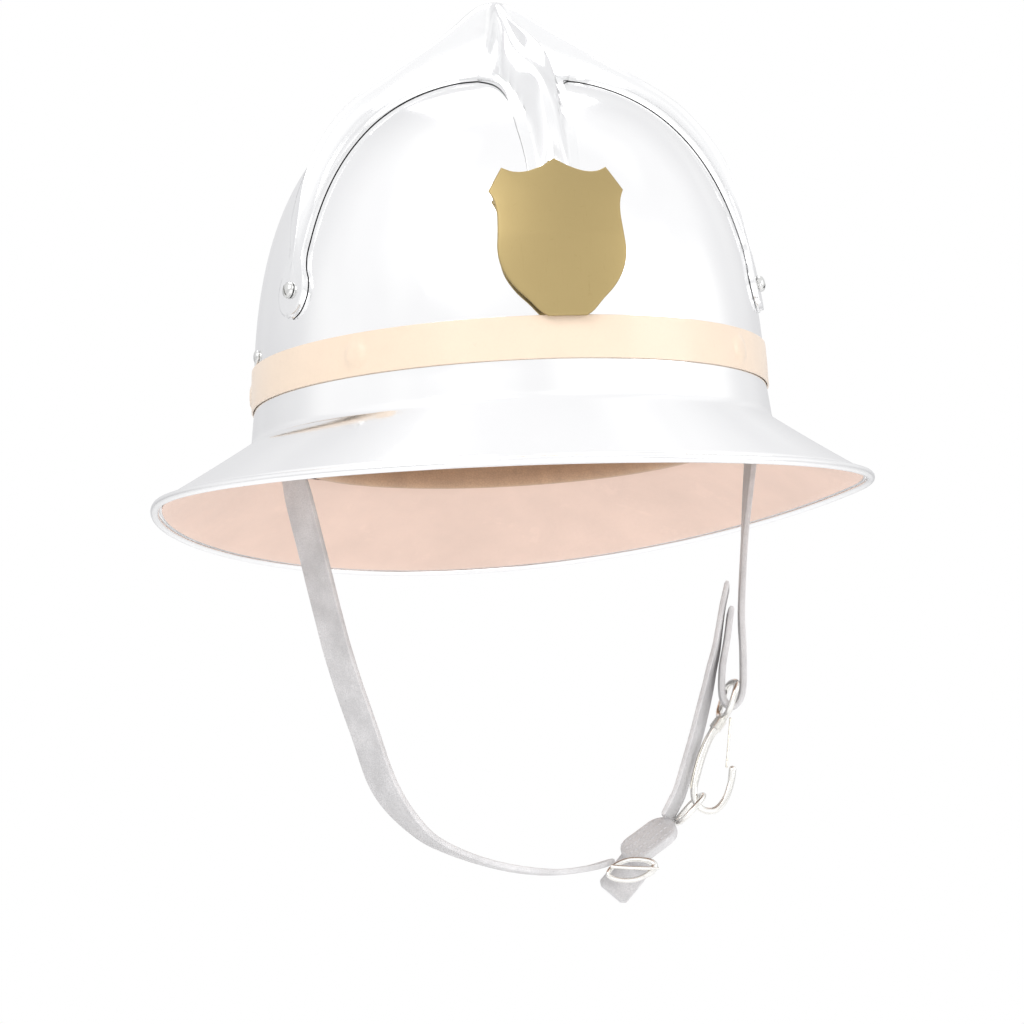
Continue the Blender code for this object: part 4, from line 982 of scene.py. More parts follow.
def build_hoop():
    rows = []
    prof = [(4.95, 2.3), (5.2, 2.0), (5.95, 2.0), (6.2, 2.3), (6.2, 10), (6.2, 20), (6.2, 31.7), (5.95, 32), (5.2, 32),
            (4.95, 31.7), (4.95, 20), (4.95, 10)]
    for i in range(200):
        a = 2 * math.pi * i / 200
        rows.append([lining_point(a, o * MM, z * MM) for o, z in prof])
    link("liner_hoop_fine", skin("liner_hoop_fine", rows, wrap_rows=True), FIBRE, "helmet", ["liner_hoop"], 50)


build_hoop()


def cradle_shape(v):
    """v from 0 at the ring's lower edge to 1 at the tongue's tip: factor on the oval and height."""
    if v < 0.25:
        return 1.0, (11 + 20 * v / 0.25) * MM
    th = math.radians(68.0) * (v - 0.25) / 0.75
    return math.cos(th), (31 + 57 * math.sin(th)) * MM


def cradle_point(ang, v, off):
    f, z = cradle_shape(v)
    e = 0.004
    f2, z2 = cradle_shape(min(v + e, 1.0))
    f1, z1 = cradle_shape(max(v - e, 0.0))
    o = 3.9 * MM
    p = lining_point(ang, o, 0)
    q = Vector((p.x * f, p.y * f, z))
    tv = Vector((p.x * (f2 - f1), p.y * (f2 - f1), z2 - z1))
    pt = lining_point(ang + 0.01, o, 0) - lining_point(ang - 0.01, o, 0)
    n = pt.cross(tv).normalized()
    if n.dot(q - Vector((0, 0, 0.03))) < 0:
        n = -n
    return q + n * off


def build_cradle():
    """Leather ring with eight tongues drawn in towards the crown."""
    bm = bmesh.new()
    layer = bm.loops.layers.uv.new("path")
    t = 1.1 * MM
    per = 22                              # columns in a tongue
    rows_v = [0.0, 0.03, 0.08, 0.16, 0.25, 0.31] + [0.31 + 0.69 * k / 26 for k in range(1, 27)]
    split = 6
    outer, inner = [], []
    cols = 8 * (per + 2)
    for i, v in enumerate(rows_v):
        lo, li = [], []
        for s in range(8):
            a0 = 2 * math.pi * (s + 0.5 / 6) / 8
            span = 2 * math.pi / 8
            # each tongue narrows a little and rounds off at its tip
            half = span * 0.5 * (5 / 6)
            vv = v
            for c in range(per + 2):
                u = (c - (per + 1) / 2) / ((per + 1) / 2)
                if i <= split:
                    ang = a0 + half + u * span * 0.5 * (1 - 1e-3)
                else:
                    k = smooth(0.31, 0.40, v)
                    ang = a0 + half + u * (span * 0.5 * (1 - k) + half * 0.93 * k)
                    tip = math.sqrt(max(0.0, 1 - abs(u) ** 3.0))
                    vv = 0.31 + (v - 0.31) * (0.90 + 0.10 * tip)
                curl = 0.5 * MM * (abs(u) ** 4) * smooth(0.3, 0.5, v)
                bulge = 0.5 * noise.noise(Vector((ang * 3, v * 4, s))) * MM
                lo.append(bm.verts.new(cradle_point(ang, vv, t / 2 + bulge + curl)))
                li.append(bm.verts.new(cradle_point(ang, vv, -t / 2 + bulge + curl)))
        outer.append(lo)
        inner.append(li)
    w = per + 2

    def quad(a, b, c, d, i, j):
        f = bm.faces.new((a, b, c, d))
        for lp, (du, dv) in zip(f.loops, ((0, 0), (1, 0), (1, 1), (0, 1))):
            lp[layer].uv = ((j + du) * 0.003, (i + dv) * 0.004)

    for i in range(len(rows_v) - 1):
        for s in range(8):
            for c in range(w):
                j = s * w + c
                j2 = (j + 1) % (8 * w)
                if c == w - 1 and i >= split:
                    continue
                quad(outer[i][j], outer[i][j2], outer[i + 1][j2], outer[i + 1][j], i, j)
                quad(inner[i][j2], inner[i][j], inner[i + 1][j], inner[i + 1][j2], i, j)
    # edges: lower rim, slit sides and tips
    for j in range(8 * w):
        j2 = (j + 1) % (8 * w)
        quad(outer[0][j2], outer[0][j], inner[0][j], inner[0][j2], 0, j)
    last = len(rows_v) - 1
    for s in range(8):
        a, b = s * w + w - 1, (s * w + w) % (8 * w)
        for i in range(split, last):
            quad(outer[i][a], outer[i + 1][a], inner[i + 1][a], inner[i][a], i, a)
            quad(outer[i + 1][b], outer[i][b], inner[i][b], inner[i + 1][b], i, b)
        quad(outer[split][a], inner[split][a], inner[split][b], outer[split][b], 0, a)
        for c in range(w - 1):
            j = s * w + c
            quad(outer[last][j], outer[last][j + 1], inner[last][j + 1], inner[last][j], last, j)
    link("crown_cradle_fine", mesh_of("crown_cradle_fine", bm), TAN, "helmet", ["crown_cradle"], 50)
    # brass eyelets and the lace that runs through them
    bm = bmesh.new()
    lace = []
    for s in range(8):
        ang = 2 * math.pi * (s + 0.5) / 8
        c = cradle_point(ang, 0.93, 0)
        n = (cradle_point(ang, 0.93, 1 * MM) - c).normalized()
        span = 0.13
        for side in (-1, 1):
            p = cradle_point(ang + side * span, 0.93, 0)
            nn = (cradle_point(ang + side * span, 0.93, 1 * MM) - p).normalized()
            mat = frame_to(p, nn)
            for k in range(20):
                a1, a2 = 2 * math.pi * k / 20, 2 * math.pi * (k + 1) / 20
                prev = None
                for q in range(8):
                    b1, b2 = 2 * math.pi * q / 8, 2 * math.pi * (q + 1) / 8
                    pts = []
                    for aa, bb in ((a1, b1), (a2, b1), (a2, b2), (a1, b2)):
                        rr = 1.9 + 0.5 * math.cos(bb)
                        pts.append(bm.verts.new(mat @ Vector((rr * math.cos(aa) * MM, rr * math.sin(aa) * MM,
                                                              0.95 * math.sin(bb) * MM))))
                    bm.faces.new(pts)
        # lace: over the tongue, down through its eyelets, under the gap
        lace += [cradle_point(ang - span * 1.9, 0.93, -1.6 * MM), cradle_point(ang - span, 0.93, 0.2 * MM),
                 cradle_point(ang - span * 0.5, 0.93, 1.9 * MM), cradle_point(ang, 0.93, 2.1 * MM),
                 cradle_point(ang + span * 0.5, 0.93, 1.9 * MM), cradle_point(ang + span, 0.93, 0.2 * MM)]
    link("cradle_eyelets", mesh_of("cradle_eyelets", bm, 1e-6), BRASS, "helmet")
    lace.append(lace[0])
    path = resample(catmull(lace, 10), 361)[:-1]
    tg = tangents(path, True)
    rows = []
    for i, (p, tt) in enumerate(zip(path, tg)):
        u = (Vector((0, 0, 1)) - tt * tt.z).normalized()
        v = tt.cross(u)
        row = []
        for k in range(12):
            th = 2 * math.pi * k / 12
            r = (1.0 + 0.12 * math.cos(3 * th + i * 0.55)) * MM * 0.95
            row.append(p + u * (r * math.cos(th)) + v * (r * math.sin(th)))
        rows.append(row)
    link("crown_lace_fine", skin("crown_lace_fine", rows, wrap_rows=True), CORD, "helmet", ["crown_lace"])


build_cradle()


def build_pad():
    """Felt disc with a soft edge and a ring of stitches."""
    r, z0, z1 = 36.0 * MM, 75.0 * MM, 80.0 * MM
    rows = []
    rad = [0.02, 0.15, 0.3, 0.45, 0.6, 0.75, 0.84, 0.87, 0.9, 0.95, 0.98]
    def h(f):
        return 0.45 * MM * math.exp(-((f - 0.87) / 0.018) ** 2)
    prof = [(f, z0 + h(f) + (0.5 * MM * smooth(0.93, 1.0, f))) for f in rad]
    prof += [(1.0, z0 + 1.5 * MM), (1.0, z1 - 1.5 * MM)]
    prof += [(f, z1 - h(f) - 0.5 * MM * smooth(0.93, 1.0, f) - 0.2 * MM) for f in rad[::-1]]
    for f, z in prof:
        rows.append([Vector((r * f * math.cos(2 * math.pi * k / 96), r * f * math.sin(2 * math.pi * k / 96),
                             z + 0.12 * MM * noise.noise(Vector((f * 9 * math.cos(k / 8), f * 9 * math.sin(k / 8), z * 900)))))
                     for k in range(96)])
    link("crown_pad_fine", skin("crown_pad_fine", rows), FELT, "helmet", ["crown_pad"])
    bm = bmesh.new()
    for i in range(72):
        a = 2 * math.pi * i / 72
        p = Vector((0.87 * r * math.cos(a), 0.87 * r * math.sin(a), z0 + 0.3 * MM))
        m = frame_to(p, Vector((-math.sin(a), math.cos(a), 0))) @ Matrix.Diagonal((0.35 * MM, 0.35 * MM, 1.05 * MM, 1))
        bmesh.ops.create_uvsphere(bm, u_segments=8, v_segments=6, radius=1.0, matrix=m)
    link("crown_pad_stitches", mesh_of("crown_pad_stitches", bm), STITCH_TAN, "helmet")


build_pad()


def depth_to(p, n, off):
    a_, f_, r_ = SWEAT[0] + off, SWEAT[1] + off, SWEAT[2] + off
    d = 0.0
    while d < 60 * MM:
        q = p - n * d
        b_ = f_ if q.y < 0 else r_
        if (q.x / a_) ** 2 + (q.y / b_) ** 2 <= 1.0:
            return d
        d += 0.02 * MM
    return d


for name, deg in RIVETS.items():
    ang = math.radians(deg)
    p = dome_point(ang, RIVET_Z)
    n = dome_normal(on_dome(p))
    n = Vector((n.x, n.y, 0)).normalized()
    d_hoop, d_in = depth_to(p, n, 6.2 * MM), depth_to(p, n, 3.3 * MM)
    prof = [(0, 0.9 * MM)] + arc(0.4 * MM, 0.9 * MM, 4.3 * MM, 0.2 * MM, 8) + [(2.0 * MM, 0.12 * MM),
            (2.0 * MM, -d_in - 0.15 * MM), (3.7 * MM, -d_in - 0.25 * MM), (3.8 * MM, -d_in - 0.5 * MM)]
    prof += [(3.3 * MM, -d_in - 0.85 * MM), (1.5 * MM, -d_in - 1.0 * MM), (0, -d_in - 1.0 * MM)]
    turned("liner_rivet_fine_" + name, prof, p, n, STEEL, "helmet", ["liner_rivet_" + name])
    top, bot = -SHELL_T - 0.5 * MM, -d_hoop + 0.4 * MM
    ln = top - bot
    prof = [(2.5, top), (6.2, top), (6.8, top - 0.5 * MM), (6.5, top - ln * 0.3), (6.2, top - ln * 0.5),
            (6.5, top - ln * 0.7), (6.8, bot + 0.5 * MM), (6.2, bot), (2.5, bot), (2.5, top)]
    turned("liner_spacer_fine_" + name, [(r * MM, z) for r, z in prof], p, n, RUBBER, "helmet",
           ["liner_spacer_" + name])

for name, sx in (("left", 1.0), ("right", -1.0)):
    o = Vector((sx * ANCHOR.x, ANCHOR.y, ANCHOR.z))
    prof = [(0, 1.9 * MM)] + arc(0.2 * MM, 1.9 * MM, 3.0 * MM, 0.35 * MM, 8) + [(2.9 * MM, 0.2 * MM), (1.9 * MM, 0.2 * MM),
            (1.9 * MM, -6.25 * MM), (4.1 * MM, -6.3 * MM), (4.2 * MM, -6.6 * MM), (3.4 * MM, -7.2 * MM), (0, -7.3 * MM)]
    turned("anchor_rivet_fine_" + name, prof, o, (sx, 0, 0), STEEL, "helmet", ["anchor_rivet_" + name])
    prof = [(2.3, -2.3), (4.8, -2.3), (5.0, -2.45), (5.0, -2.85), (4.8, -3.0), (2.3, -3.0), (2.3, -2.3)]
    turned("anchor_washer_fine_" + name, [(r * MM, z * MM) for r, z in prof], o, (sx, 0, 0), STEEL, "helmet",
           ["anchor_washer_" + name])


# ------------------------------------------------------------------ straps
def strap_wide(points, twist, plan=lambda p: 0.0):
    tg = tangents(points)
    out = []
    for p, t in zip(points, tg):
        base = turn_about(Vector((0, -1, 0)), Vector((0, 0, 1)), plan(p))
        base = (base - t * base.dot(t)).normalized()
        out.append(turn_about(base, t, twist(p)))
    return out


def strap_section(width, thick, groove=True, n=26):
    """Rounded flat section with a shallow creased line inside each edge."""
    hw, ht = width / 2, thick / 2
    pts = []
    r = ht * 0.55
    us = [-1 + 2 * k / 15 for k in range(16)]
    for u in us:                                   # upper face
        x = u * (hw - r)
        e = (hw - r) - abs(x)
        dip = 0.16 * MM * math.exp(-((e - 0.9 * MM) / (0.32 * MM)) ** 2) if groove else 0.0
        pts.append((x, ht - dip))
    for k in range(1, 5):
        th = math.pi / 2 * (1 - k / 5)
        pts.append((hw - r + r * math.cos(th), ht - r + r * math.sin(th)))
    pts.append((hw, 0.0))
    for k in range(1, 5):
        th = -math.pi / 2 * k / 5
        pts.append((hw - r + r * math.cos(th), -(ht - r) + r * math.sin(th)))
    for u in us[::-1]:
        pts.append((u * (hw - r), -ht))
    for k in range(1, 5):
        th = -math.pi / 2 * (1 - k / 5)
        pts.append((-(hw - r) - r * math.cos(th), -(ht - r) + r * math.sin(th)))
    pts.append((-hw, 0.0))
    for k in range(1, 5):
        th = math.pi / 2 * k / 5
        pts.append((-(hw - r) - r * math.cos(th), ht - r + r * math.sin(th)))
    return pts


def strap_mesh(name, points, wide, width, thick, ends=("round", "round"), groove=True, wave=0.15):
    tg = tangents(points)
    rows, uv = [], []
    dist = 0.0
    n = len(points)
    total = sum((b - a).length for a, b in zip(points, points[1:]))
    for i, (p, t, w) in enumerate(zip(points, tg, wide)):
        if i:
            dist += (p - points[i - 1]).length
        w = (w - t * w.dot(t)).normalized()
        nn = t.cross(w)
        fw, ft = 1.0, 1.0
        for kind, d in ((ends[0], dist), (ends[1], total - dist)):
            lim = width * 0.5
            if kind == "round" and d < lim:
                fw = min(fw, math.sqrt(max(0.02, 1 - (1 - d / lim) ** 2)))
            if kind == "chamfer" and d < width * 0.13:
                fw = min(fw, 0.74 + 0.26 * d / (width * 0.13))
            if d < 0.8 * MM:
                ft = min(ft, 0.55 + 0.45 * d / (0.8 * MM))
        sec = strap_section(width * fw, thick * ft, groove and fw > 0.95)
        row, ur = [], []
        for x, z in sec:
            q = p + w * x + nn * z
            q = q + nn * (wave * MM * noise.noise(Vector((dist * 60, x * 80, z * 20)))) * 0.6
            q = q + w * (0.12 * MM * noise.noise(Vector((dist * 90 + 7, 0, 1 if x > 0 else 5))))
            row.append(q)
            ur.append((dist, x + (z if abs(x) > width * 0.45 else 0)))
        rows.append(row)
        uv.append(ur)
    return skin(name, rows, uv=uv)


def edge_material(obj, points, wide, width):
    """The cut edges of the leather get a lighter copy of the strap leather: painted light that brightens edges lying in
    shade under the brim.
    """
    obj.data.materials.append(STRAP_EDGE_PAINTED_LIGHT)
    for poly in obj.data.polygons:
        c = poly.center - DROP.translation
        best = min(range(len(points)), key=lambda i: (points[i] - c).length_squared)
        if abs((c - points[best]).dot(wide[best])) > width * 0.478:
            poly.material_index = 1


def dense(pts, wide_fn, count, plan=lambda p: 0.0):
    p = resample(catmull(pts, 10), count)
    return p, strap_wide(p, wide_fn, plan)


def stitches(name, points, wide, width, thick, inset, body, mat, step=2.6 * MM, faces=(1,), start=0.08, end=0.94,
             lanes=(-1, 1), size=(0.36, 0.30, 0.95)):
    tg = tangents(points)
    acc = [0.0]
    for a, b in zip(points, points[1:]):
        acc.append(acc[-1] + (b - a).length)
    bm = bmesh.new()
    d = acc[-1] * start
    j = 0
    while d < acc[-1] * end:
        while j < len(acc) - 2 and acc[j + 1] < d:
            j += 1
        f = (d - acc[j]) / max(acc[j + 1] - acc[j], 1e-9)
        p, t = points[j].lerp(points[j + 1], f), tg[j]
        w = (wide[j] - t * wide[j].dot(t)).normalized()
        nn = t.cross(w)
        for face in faces:
            for lane in lanes:
                c = p + w * (lane * (width / 2 - inset)) + nn * (face * (thick / 2 + 0.02 * MM))
                m = frame_to(c, t + w * 0.12 * lane, nn) @ Matrix.Diagonal((size[1] * MM, size[0] * MM, size[2] * MM, 1))
                bmesh.ops.create_uvsphere(bm, u_segments=10, v_segments=8, radius=1.0, matrix=m)
        d += step
    link(name, mesh_of(name, bm), mat, body)


SX = ANCHOR.x - 4.7 * MM
LONG = [(-SX / MM, 4.6, 46.4), (-SX / MM, 1.2, 40), (-SX / MM, -2, 34), (-97.8, -8.2, 22.4),
        (-97.0, -16, 8), (-95.2, -24.5, -8), (-93.6, -30.1, -19), (-87.9, -34.4, -49.2), (-80.4, -39.9, -88.3),
        (-72.1, -44.2, -119.2), (-65.3, -47.3, -141.7), (-54.5, -49.5, -157.2), (-43.4, -50.7, -165.7),
        (-23.5, -51.8, -173.5), (-3.6, -52.3, -177.0), (12.0, -52.1, -176.2), (23.0, -52.0, -173.6)]
twist_long = lambda p: -34.0 * smooth(8 * MM, -30 * MM, p.z) * smooth(-174 * MM, -135 * MM, p.z)
pts, wide = dense(mm(LONG), twist_long, 260)
strap = link("chin_strap_fine", strap_mesh("chin_strap_fine", pts, wide, 14.5 * MM, 2.3 * MM), STRAP, "strap",
             ["chin_strap"], 60)
edge_material(strap, pts, wide, 14.5 * MM)

BLOCK = [(27.0, -52.1, -172.6), (33.7, -51.4, -168.8), (42.1, -50.6, -163.4), (47.6, -50.0, -159.6)]
pts, wide = dense(mm(BLOCK), lambda p: 38.0, 60)
tab = link("ring_tab_fine", strap_mesh("ring_tab_fine", pts, wide, 14.5 * MM, 4.2 * MM, ("round", "round")), STRAP,
           "strap", ["ring_tab"], 60)
edge_material(tab, pts, wide, 14.5 * MM)
stitches("ring_tab_stitches", pts, wide, 14.5 * MM, 4.2 * MM, 2.2 * MM, "strap", STITCH, 2.1 * MM,
         (-1, 1), 0.12, 0.88, (-1, -0.35, 0.35, 1), (0.28, 0.24, 0.75))

TAIL = [(34.6, -47.4, -172.4), (28.2, -49.6, -179.4), (20.9, -53.0, -186.4)]
pts, wide = dense(mm(TAIL), lambda p: -80.0, 40)
tail = link("strap_tail_fine", strap_mesh("strap_tail_fine", pts, wide, 13.5 * MM, 2.3 * MM, ("flat", "chamfer")), STRAP,
            "strap", ["strap_tail"], 60)
edge_material(tail, pts, wide, 13.5 * MM)

TONGUE = [(45.2, -47.6, -158.8), (49.4, -46.4, -152.0), (52.3, -46.2, -146.5), (59.3, -45.0, -127.5), (65.0, -44.5, -109.5),
          (67.7, -43.8, -100.0), (70.5, -43.0, -91.0), (73.8, -41.8, -76.0), (76.7, -41.0, -66.0)]
pts, wide = dense(mm(TONGUE), lambda p: -16.0 - 14.0 * smooth(-70 * MM, -125 * MM, p.z), 110)
tongue = link("cheek_tongue_fine", strap_mesh("cheek_tongue_fine", pts, wide, 13.0 * MM, 2.0 * MM, ("flat", "flat")),
              STRAP, "strap", ["cheek_tongue"], 60)
edge_material(tongue, pts, wide, 13.0 * MM)

HANG = [(SX / MM, 4.6, 46.4), (SX / MM, 1.2, 40), (SX / MM, -2, 34), (97.6, -8.2, 22.4),
        (96.6, -16, 8), (94.6, -24.0, -6), (91.6, -29.4, -17), (86.4, -34.2, -47.7), (82.6, -38.1, -76.0),
        (81.8, -40.4, -92.1), (80.6, -42.3, -106.0), (78.6, -43.2, -112.4), (75.2, -43.4, -114.6),
        (71.9, -43.1, -111.0), (72.6, -41.6, -99.9), (75.6, -39.8, -88.0), (78.2, -38.1, -75.9)]
pts, wide = dense(mm(HANG), lambda p: 0.0, 240, lambda p: -11.0 * smooth(-12 * MM, -55 * MM, p.z))
hanger = link("hanger_strap_fine", strap_mesh("hanger_strap_fine", pts, wide, 13.0 * MM, 2.3 * MM, ("round", "flat"), True, 0.08),
              STRAP, "hanger", ["hanger_strap"], 60)
edge_material(hanger, pts, wide, 13.0 * MM)


# ------------------------------------------------------------------ wire hardware
def wire(name, points, radius, mat, body, replaces=(), sides=18, closed=False, hint=Vector((0, 1, 0)), flat=1.0,
         round_ends=True):
    tg = tangents(points, closed)
    rows = []
    n = len(points)
    for i, (p, t) in enumerate(zip(points, tg)):
        r = radius[i] if isinstance(radius, (list, tuple)) else radius
        u = (hint - t * hint.dot(t)).normalized()
        v = t.cross(u)
        r *= 1.0 + 0.015 * noise.noise(p * 900)
        rows.append([p + u * (r * flat * math.cos(2 * math.pi * k / sides)) + v * (r * math.sin(2 * math.pi * k / sides))
                     for k in range(sides)])
    if not closed and round_ends:
        for end, t in ((0, -tg[0]), (-1, tg[-1])):
            c = points[end]
            base = rows[end]
            extra = []
            rr = (base[0] - c).length
            for q in (0.35, 0.7, 0.92):
                s = math.sqrt(1 - q * q)
                extra.append([c + (b - c) * s + t * (rr * q) for b in base])
            if end == 0:
                rows = extra[::-1] + rows
            else:
                rows = rows + extra
    return link(name, skin(name, rows, wrap_rows=closed), mat, body, replaces, 50)


def oval_loop(centre, along, across, half_long, half_wide, count=96, power=2.6):
    a = Vector(along).normalized()
    b = Vector(across)
    b = (b - a * b.dot(a)).normalized()
    out = []
    for i in range(count):
        t = 2 * math.pi * i / count
        c, s = math.cos(t), math.sin(t)
        out.append(Vector(centre) + a * (half_long * math.copysign(abs(c) ** (2 / power), c))
                   + b * (half_wide * math.copysign(abs(s) ** (2 / power), s)))
    return resample(out + [out[0]], count + 1)[:-1], a.cross(b)


BUCKLE_C = Vector((27.2, -62.7, -177.6)) * MM
b_pts, b_n = oval_loop(BUCKLE_C, (1, 0.05, 0.16), (0, -0.55, -1), 9.4 * MM, 4.5 * MM, 96, 1.75)
b_rad = [(0.95 + 0.55 * smooth(0.45, 1.0, (p.x - BUCKLE_C.x) / (9.4 * MM))) * MM for p in b_pts]
wire("buckle_frame_fine", b_pts, b_rad, NICKEL, "strap", ["buckle_frame"], 16, True, b_n)
PRONG = [(19.4, -64.2, -176.0), (24.0, -65.2, -176.6), (30.0, -65.3, -177.1), (37.6, -64.6, -177.5)]
pp = resample(catmull(mm(PRONG), 10), 50)
wire("buckle_prong_fine", pp, [0.78 * MM * (1 - 0.35 * smooth(0.7, 1.0, i / 49)) for i in range(50)], NICKEL, "prong",
     ["buckle_prong"], 16, False, Vector((0, 0, 1)))

RING_A, RING_B = Vector((49.6, -49.9, -159.8)) * MM, Vector((60.0, -48.6, -149.4)) * MM
r_pts, r_n = oval_loop((RING_A + RING_B) / 2, RING_B - RING_A, (0, 1, 0), (RING_B - RING_A).length / 2, 7.2 * MM)
wire("oval_ring_fine", r_pts, 1.10 * MM, NICKEL, "ring", ["oval_ring"], 18, True, r_n)

EYE_C = Vector((74.9, -43.3, -109.0)) * MM
EYE_UP = Vector((0.37, 0, 1.0)).normalized()
e_pts, e_n = oval_loop(EYE_C - EYE_UP * (3.0 * MM), EYE_UP, (0, 1, 0), 7.2 * MM, 9.4 * MM, 110, 3.0)
wire("hook_eye_fine", e_pts, 1.3 * MM, NICKEL, "hook", (), 18, True, e_n)
HOOK = [(71.0, -43.8, -119.4), (68.2, -44.3, -122.8), (65.0, -45.1, -127.2), (61.8, -46.0, -133.4),
        (59.2, -46.9, -140.0), (57.3, -47.8, -146.6), (57.4, -48.5, -151.4), (60.2, -48.9, -155.0),
        (65.0, -48.9, -155.4), (69.3, -48.3, -151.6), (72.2, -47.5, -145.4), (73.5, -46.9, -139.6)]
hp = resample(catmull(mm(HOOK), 12), 160)
hr = []
for i in range(160):
    t = i / 159
    r = 1.9 - 0.3 * smooth(0.05, 0.16, t) - 0.25 * smooth(0.38, 0.5, t) + 0.12 * smooth(0.9, 0.98, t)
    hr.append(r * MM)
wire("snap_hook_fine", hp, hr, NICKEL, "hook", ["snap_hook"], 20, False)
# knurled collar below the eye and the thin leaf along the shank
collar_axis = (hp[12] - hp[2]).normalized()
collar_prof = [(0.0, -2.6), (1.7, -2.6)]
for k in range(6):
    zc = -2.1 + k * 0.84
    collar_prof += [(2.15, zc - 0.34), (2.5, zc - 0.12), (2.5, zc + 0.12), (2.15, zc + 0.34)]
collar_prof += [(1.7, 2.75), (0.0, 2.75)]
turned("snap_hook_collar", [(r * MM, z * MM) for r, z in collar_prof], hp[7], collar_axis, NICKEL, "hook",
       sharp=30)
leaf_rows = []
for i in range(22, 78):
    q, tt = hp[i], (hp[i + 1] - hp[i - 1]).normalized()
    vv = tt.cross(Vector((0, 1, 0))).normalized()
    vv = vv if vv.x < 0 else -vv
    cc = q + vv * (1.46 * MM)
    hw, ht = 1.15 * MM * (1 - 0.6 * abs((i - 50) / 28) ** 3), 0.22 * MM
    leaf_rows.append([cc + Vector((0, 1, 0)) * (hw * a_) + vv * (ht * b_)
                      for a_, b_ in ((-1, -0.6), (-0.9, 0.7), (-0.4, 1), (0.4, 1), (0.9, 0.7), (1, -0.6), (0.4, -1), (-0.4, -1))])
link("snap_hook_leaf", skin("snap_hook_leaf", leaf_rows), WIRE, "hook", (), 40)
GATE = [(74.4, -43.9, -119.4), (73.0, -45.2, -128), (71.2, -46.8, -138.4)]
gp = resample(catmull(mm(GATE), 10), 60)
wire("hook_gate_fine", gp, 0.5 * MM, WIRE, "gate", ["hook_gate"], 12, False)

# ------------------------------------------------------------------ carried-over CAD nodes
for node, mat in (("badge_nut_upper", BRASS), ("badge_nut_lower", BRASS)):
    o = NODES[node]
    for s in o.material_slots:
        s.material = mat

# ------------------------------------------------------------------ stage, light, camera
floor_mat = Mat("floor", (0.93, 0.93, 0.935), 0.0, 0.55)
floor_mat.base(floor_mat.mix(floor_mat.noise(3, 3), (0.93, 0.93, 0.935), (0.95, 0.95, 0.95)))
bm = bmesh.new()
bmesh.ops.create_grid(bm, x_segments=2, y_segments=2, size=6.0, matrix=Matrix.Translation((0, 0, -0.535)))
back_face = floor_mat.node("ShaderNodeNewGeometry")
clear = floor_mat.node("ShaderNodeBsdfTransparent")
pick = floor_mat.node("ShaderNodeMixShader")
floor_mat.link(back_face.outputs["Backfacing"], pick.inputs["Fac"])
floor_mat.link(floor_mat.b.outputs[0], pick.inputs[1])
floor_mat.link(clear.outputs[0], pick.inputs[2])
floor_mat.link(pick.outputs[0], floor_mat.t.nodes["Material Output"].inputs["Surface"])
floor_mesh = mesh_of("floor", bm)
if floor_mesh.polygons[0].normal.z < 0:
    floor_mesh.flip_normals()
floor = bpy.data.objects.new("floor", floor_mesh)
floor.data.materials.append(floor_mat.m)
bpy.context.scene.collection.objects.link(floor)

world = bpy.data.worlds.new("studio")
bpy.context.scene.world = world
world.use_nodes = True
wt = world.node_tree
wt.nodes.clear()
out = wt.nodes.new("ShaderNodeOutputWorld")
bg_cam = wt.nodes.new("ShaderNodeBackground")
bg_cam.inputs["Color"].default_value = (1, 1, 1, 1)
bg_cam.inputs["Strength"].default_value = 1.0
bg_env = wt.nodes.new("ShaderNodeBackground")
bg_env.inputs["Strength"].default_value = 0.92
bg_gloss = wt.nodes.new("ShaderNodeBackground")
bg_gloss.inputs["Strength"].default_value = 1.13
mix_gloss = wt.nodes.new("ShaderNodeMixShader")
mixs = wt.nodes.new("ShaderNodeMixShader")
lp = wt.nodes.new("ShaderNodeLightPath")
wt.links.new(lp.outputs["Is Camera Ray"], mixs.inputs["Fac"])
wt.links.new(lp.outputs["Is Glossy Ray"], mix_gloss.inputs["Fac"])
wt.links.new(bg_env.outputs[0], mix_gloss.inputs[1])
wt.links.new(bg_gloss.outputs[0], mix_gloss.inputs[2])
wt.links.new(mix_gloss.outputs[0], mixs.inputs[1])
wt.links.new(bg_cam.outputs[0], mixs.inputs[2])
wt.links.new(mixs.outputs[0], out.inputs["Surface"])
tc = wt.nodes.new("ShaderNodeTexCoord")
sep = wt.nodes.new("ShaderNodeSeparateXYZ")
wt.links.new(tc.outputs["Generated"], sep.inputs[0])
ramp = wt.nodes.new("ShaderNodeValToRGB")
el = ramp.color_ramp.elements
el[0].position, el[0].color = 0.0, (0.93, 0.93, 0.935, 1)
el[1].position, el[1].color = 1.0, (1.0, 1.0, 1.0, 1)
for pos, v in ((0.38, 0.92), (0.47, 0.82), (0.52, 0.84), (0.60, 0.95), (0.75, 1.0)):
    e = el.new(pos)
    e.color = (v, v, v, 1)
mp = wt.nodes.new("ShaderNodeMath")
mp.operation = "MULTIPLY_ADD"
mp.inputs[1].default_value, mp.inputs[2].default_value = 0.5, 0.5
wt.links.new(sep.outputs["Z"], mp.inputs[0])
wt.links.new(mp.outputs[0], ramp.inputs["Fac"])
nz = wt.nodes.new("ShaderNodeTexNoise")
nz.inputs["Scale"].default_value = 1.6
nz.inputs["Detail"].default_value = 1.0
wt.links.new(tc.outputs["Generated"], nz.inputs["Vector"])
r2 = wt.nodes.new("ShaderNodeValToRGB")
r2.color_ramp.elements[0].position, r2.color_ramp.elements[0].color = 0.42, (0.93, 0.93, 0.935, 1)
r2.color_ramp.elements[1].position, r2.color_ramp.elements[1].color = 0.58, (1, 1, 1, 1)
wt.links.new(nz.outputs["Fac"], r2.inputs["Fac"])
mul = wt.nodes.new("ShaderNodeMix")
mul.data_type, mul.blend_type = "RGBA", "MULTIPLY"
mul.inputs["Factor"].default_value = 1.0
wt.links.new(ramp.outputs["Color"], mul.inputs[6])
wt.links.new(r2.outputs["Color"], mul.inputs[7])
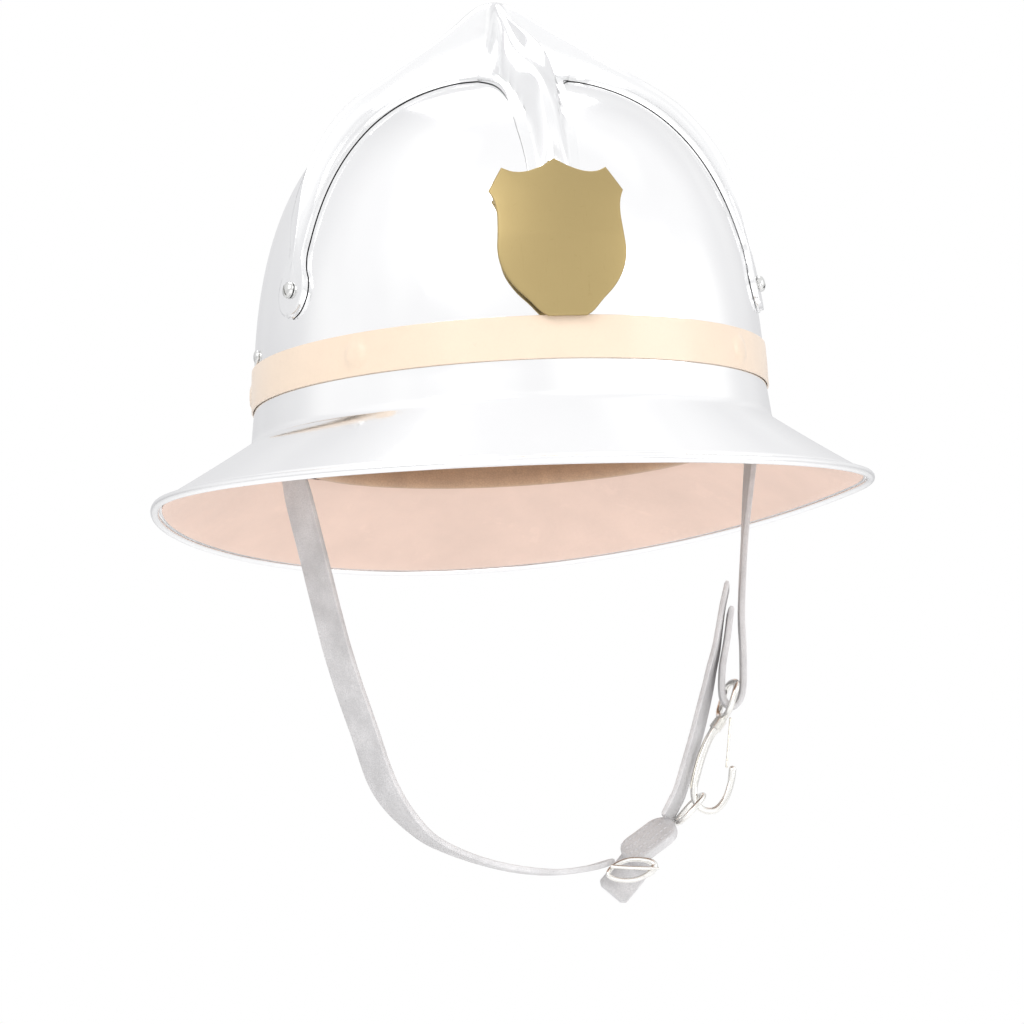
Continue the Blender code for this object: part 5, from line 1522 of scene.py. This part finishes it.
wt.links.new(mul.outputs[2], bg_env.inputs["Color"])
# a slightly darker zone behind the object draws its polished outline
far = wt.nodes.new("ShaderNodeValToRGB")
far.color_ramp.elements[0].position, far.color_ramp.elements[0].color = 0.62, (1, 1, 1, 1)
far.color_ramp.elements[1].position, far.color_ramp.elements[1].color = 0.95, (0.74, 0.74, 0.75, 1)
half = wt.nodes.new("ShaderNodeMath")
half.operation = "MULTIPLY_ADD"
half.inputs[1].default_value, half.inputs[2].default_value = 0.5, 0.5
wt.links.new(sep.outputs["Y"], half.inputs[0])
wt.links.new(half.outputs[0], far.inputs["Fac"])
mul2 = wt.nodes.new("ShaderNodeMix")
mul2.data_type, mul2.blend_type = "RGBA", "MULTIPLY"
mul2.inputs["Factor"].default_value = 1.0
wt.links.new(mul.outputs[2], mul2.inputs[6])
wt.links.new(far.outputs["Color"], mul2.inputs[7])
wt.links.new(mul2.outputs[2], bg_gloss.inputs["Color"])


def area(name, loc, size, power, target=(0, 0, 0.03), size_y=None):
    loc, target = DROP @ Vector(loc), DROP @ Vector(target)
    d = bpy.data.lights.new(name, "AREA")
    d.energy = power
    d.shape = "RECTANGLE"
    d.size = size
    d.size_y = size_y or size
    o = bpy.data.objects.new(name, d)
    o.location = loc
    o.rotation_mode = "QUATERNION"
    o.rotation_quaternion = (Vector(target) - Vector(loc)).to_track_quat("-Z", "Y")
    bpy.context.scene.collection.objects.link(o)


area("key", (-0.9, -1.0, 1.1), 0.9, 9.0)
area("fill", (1.2, -0.7, 0.35), 0.8, 3.5)
area("top", (0.1, 0.5, 1.5), 1.0, 7.0)
area("under", (0.0, -0.8, -0.38), 0.9, 2.0, (0, 0, -0.05))

CAM_AZ, CAM_EL, CAM_ROLL, CAM_D, CAM_F = -11.28, -7.07, 2.59, 1.65164, 4076.2
a, e, r = (math.radians(v) for v in (CAM_AZ, CAM_EL, CAM_ROLL))
back = Vector((math.sin(a) * math.cos(e), -math.cos(a) * math.cos(e), math.sin(e)))
right = Vector((math.cos(a), math.sin(a), 0))
up = back.cross(right)
xi = right * math.cos(r) - up * math.sin(r)
yi = right * math.sin(r) + up * math.cos(r)
R = Matrix((xi, yi, back)).transposed()
tilt = math.atan((512.0 - 437.07) / CAM_F)
pan = math.atan((511.0 - 512.0) / CAM_F)
R = R @ Matrix.Rotation(-tilt, 3, "X") @ Matrix.Rotation(pan, 3, "Y")
cam = bpy.data.objects.new("camera", bpy.data.cameras.new("camera"))
cam.data.sensor_width = 36.0
cam.data.lens = 36.0 * CAM_F / 1024.0
cam.data.clip_start, cam.data.clip_end = 0.05, 50
m4 = R.to_4x4()
m4.translation = DROP @ (back * CAM_D)
cam.matrix_world = m4
bpy.context.scene.collection.objects.link(cam)
bpy.context.scene.camera = cam
bpy.context.scene.view_settings.view_transform = "Standard"
bpy.context.scene.view_settings.look = "None"

bpy.context.view_layer.update()
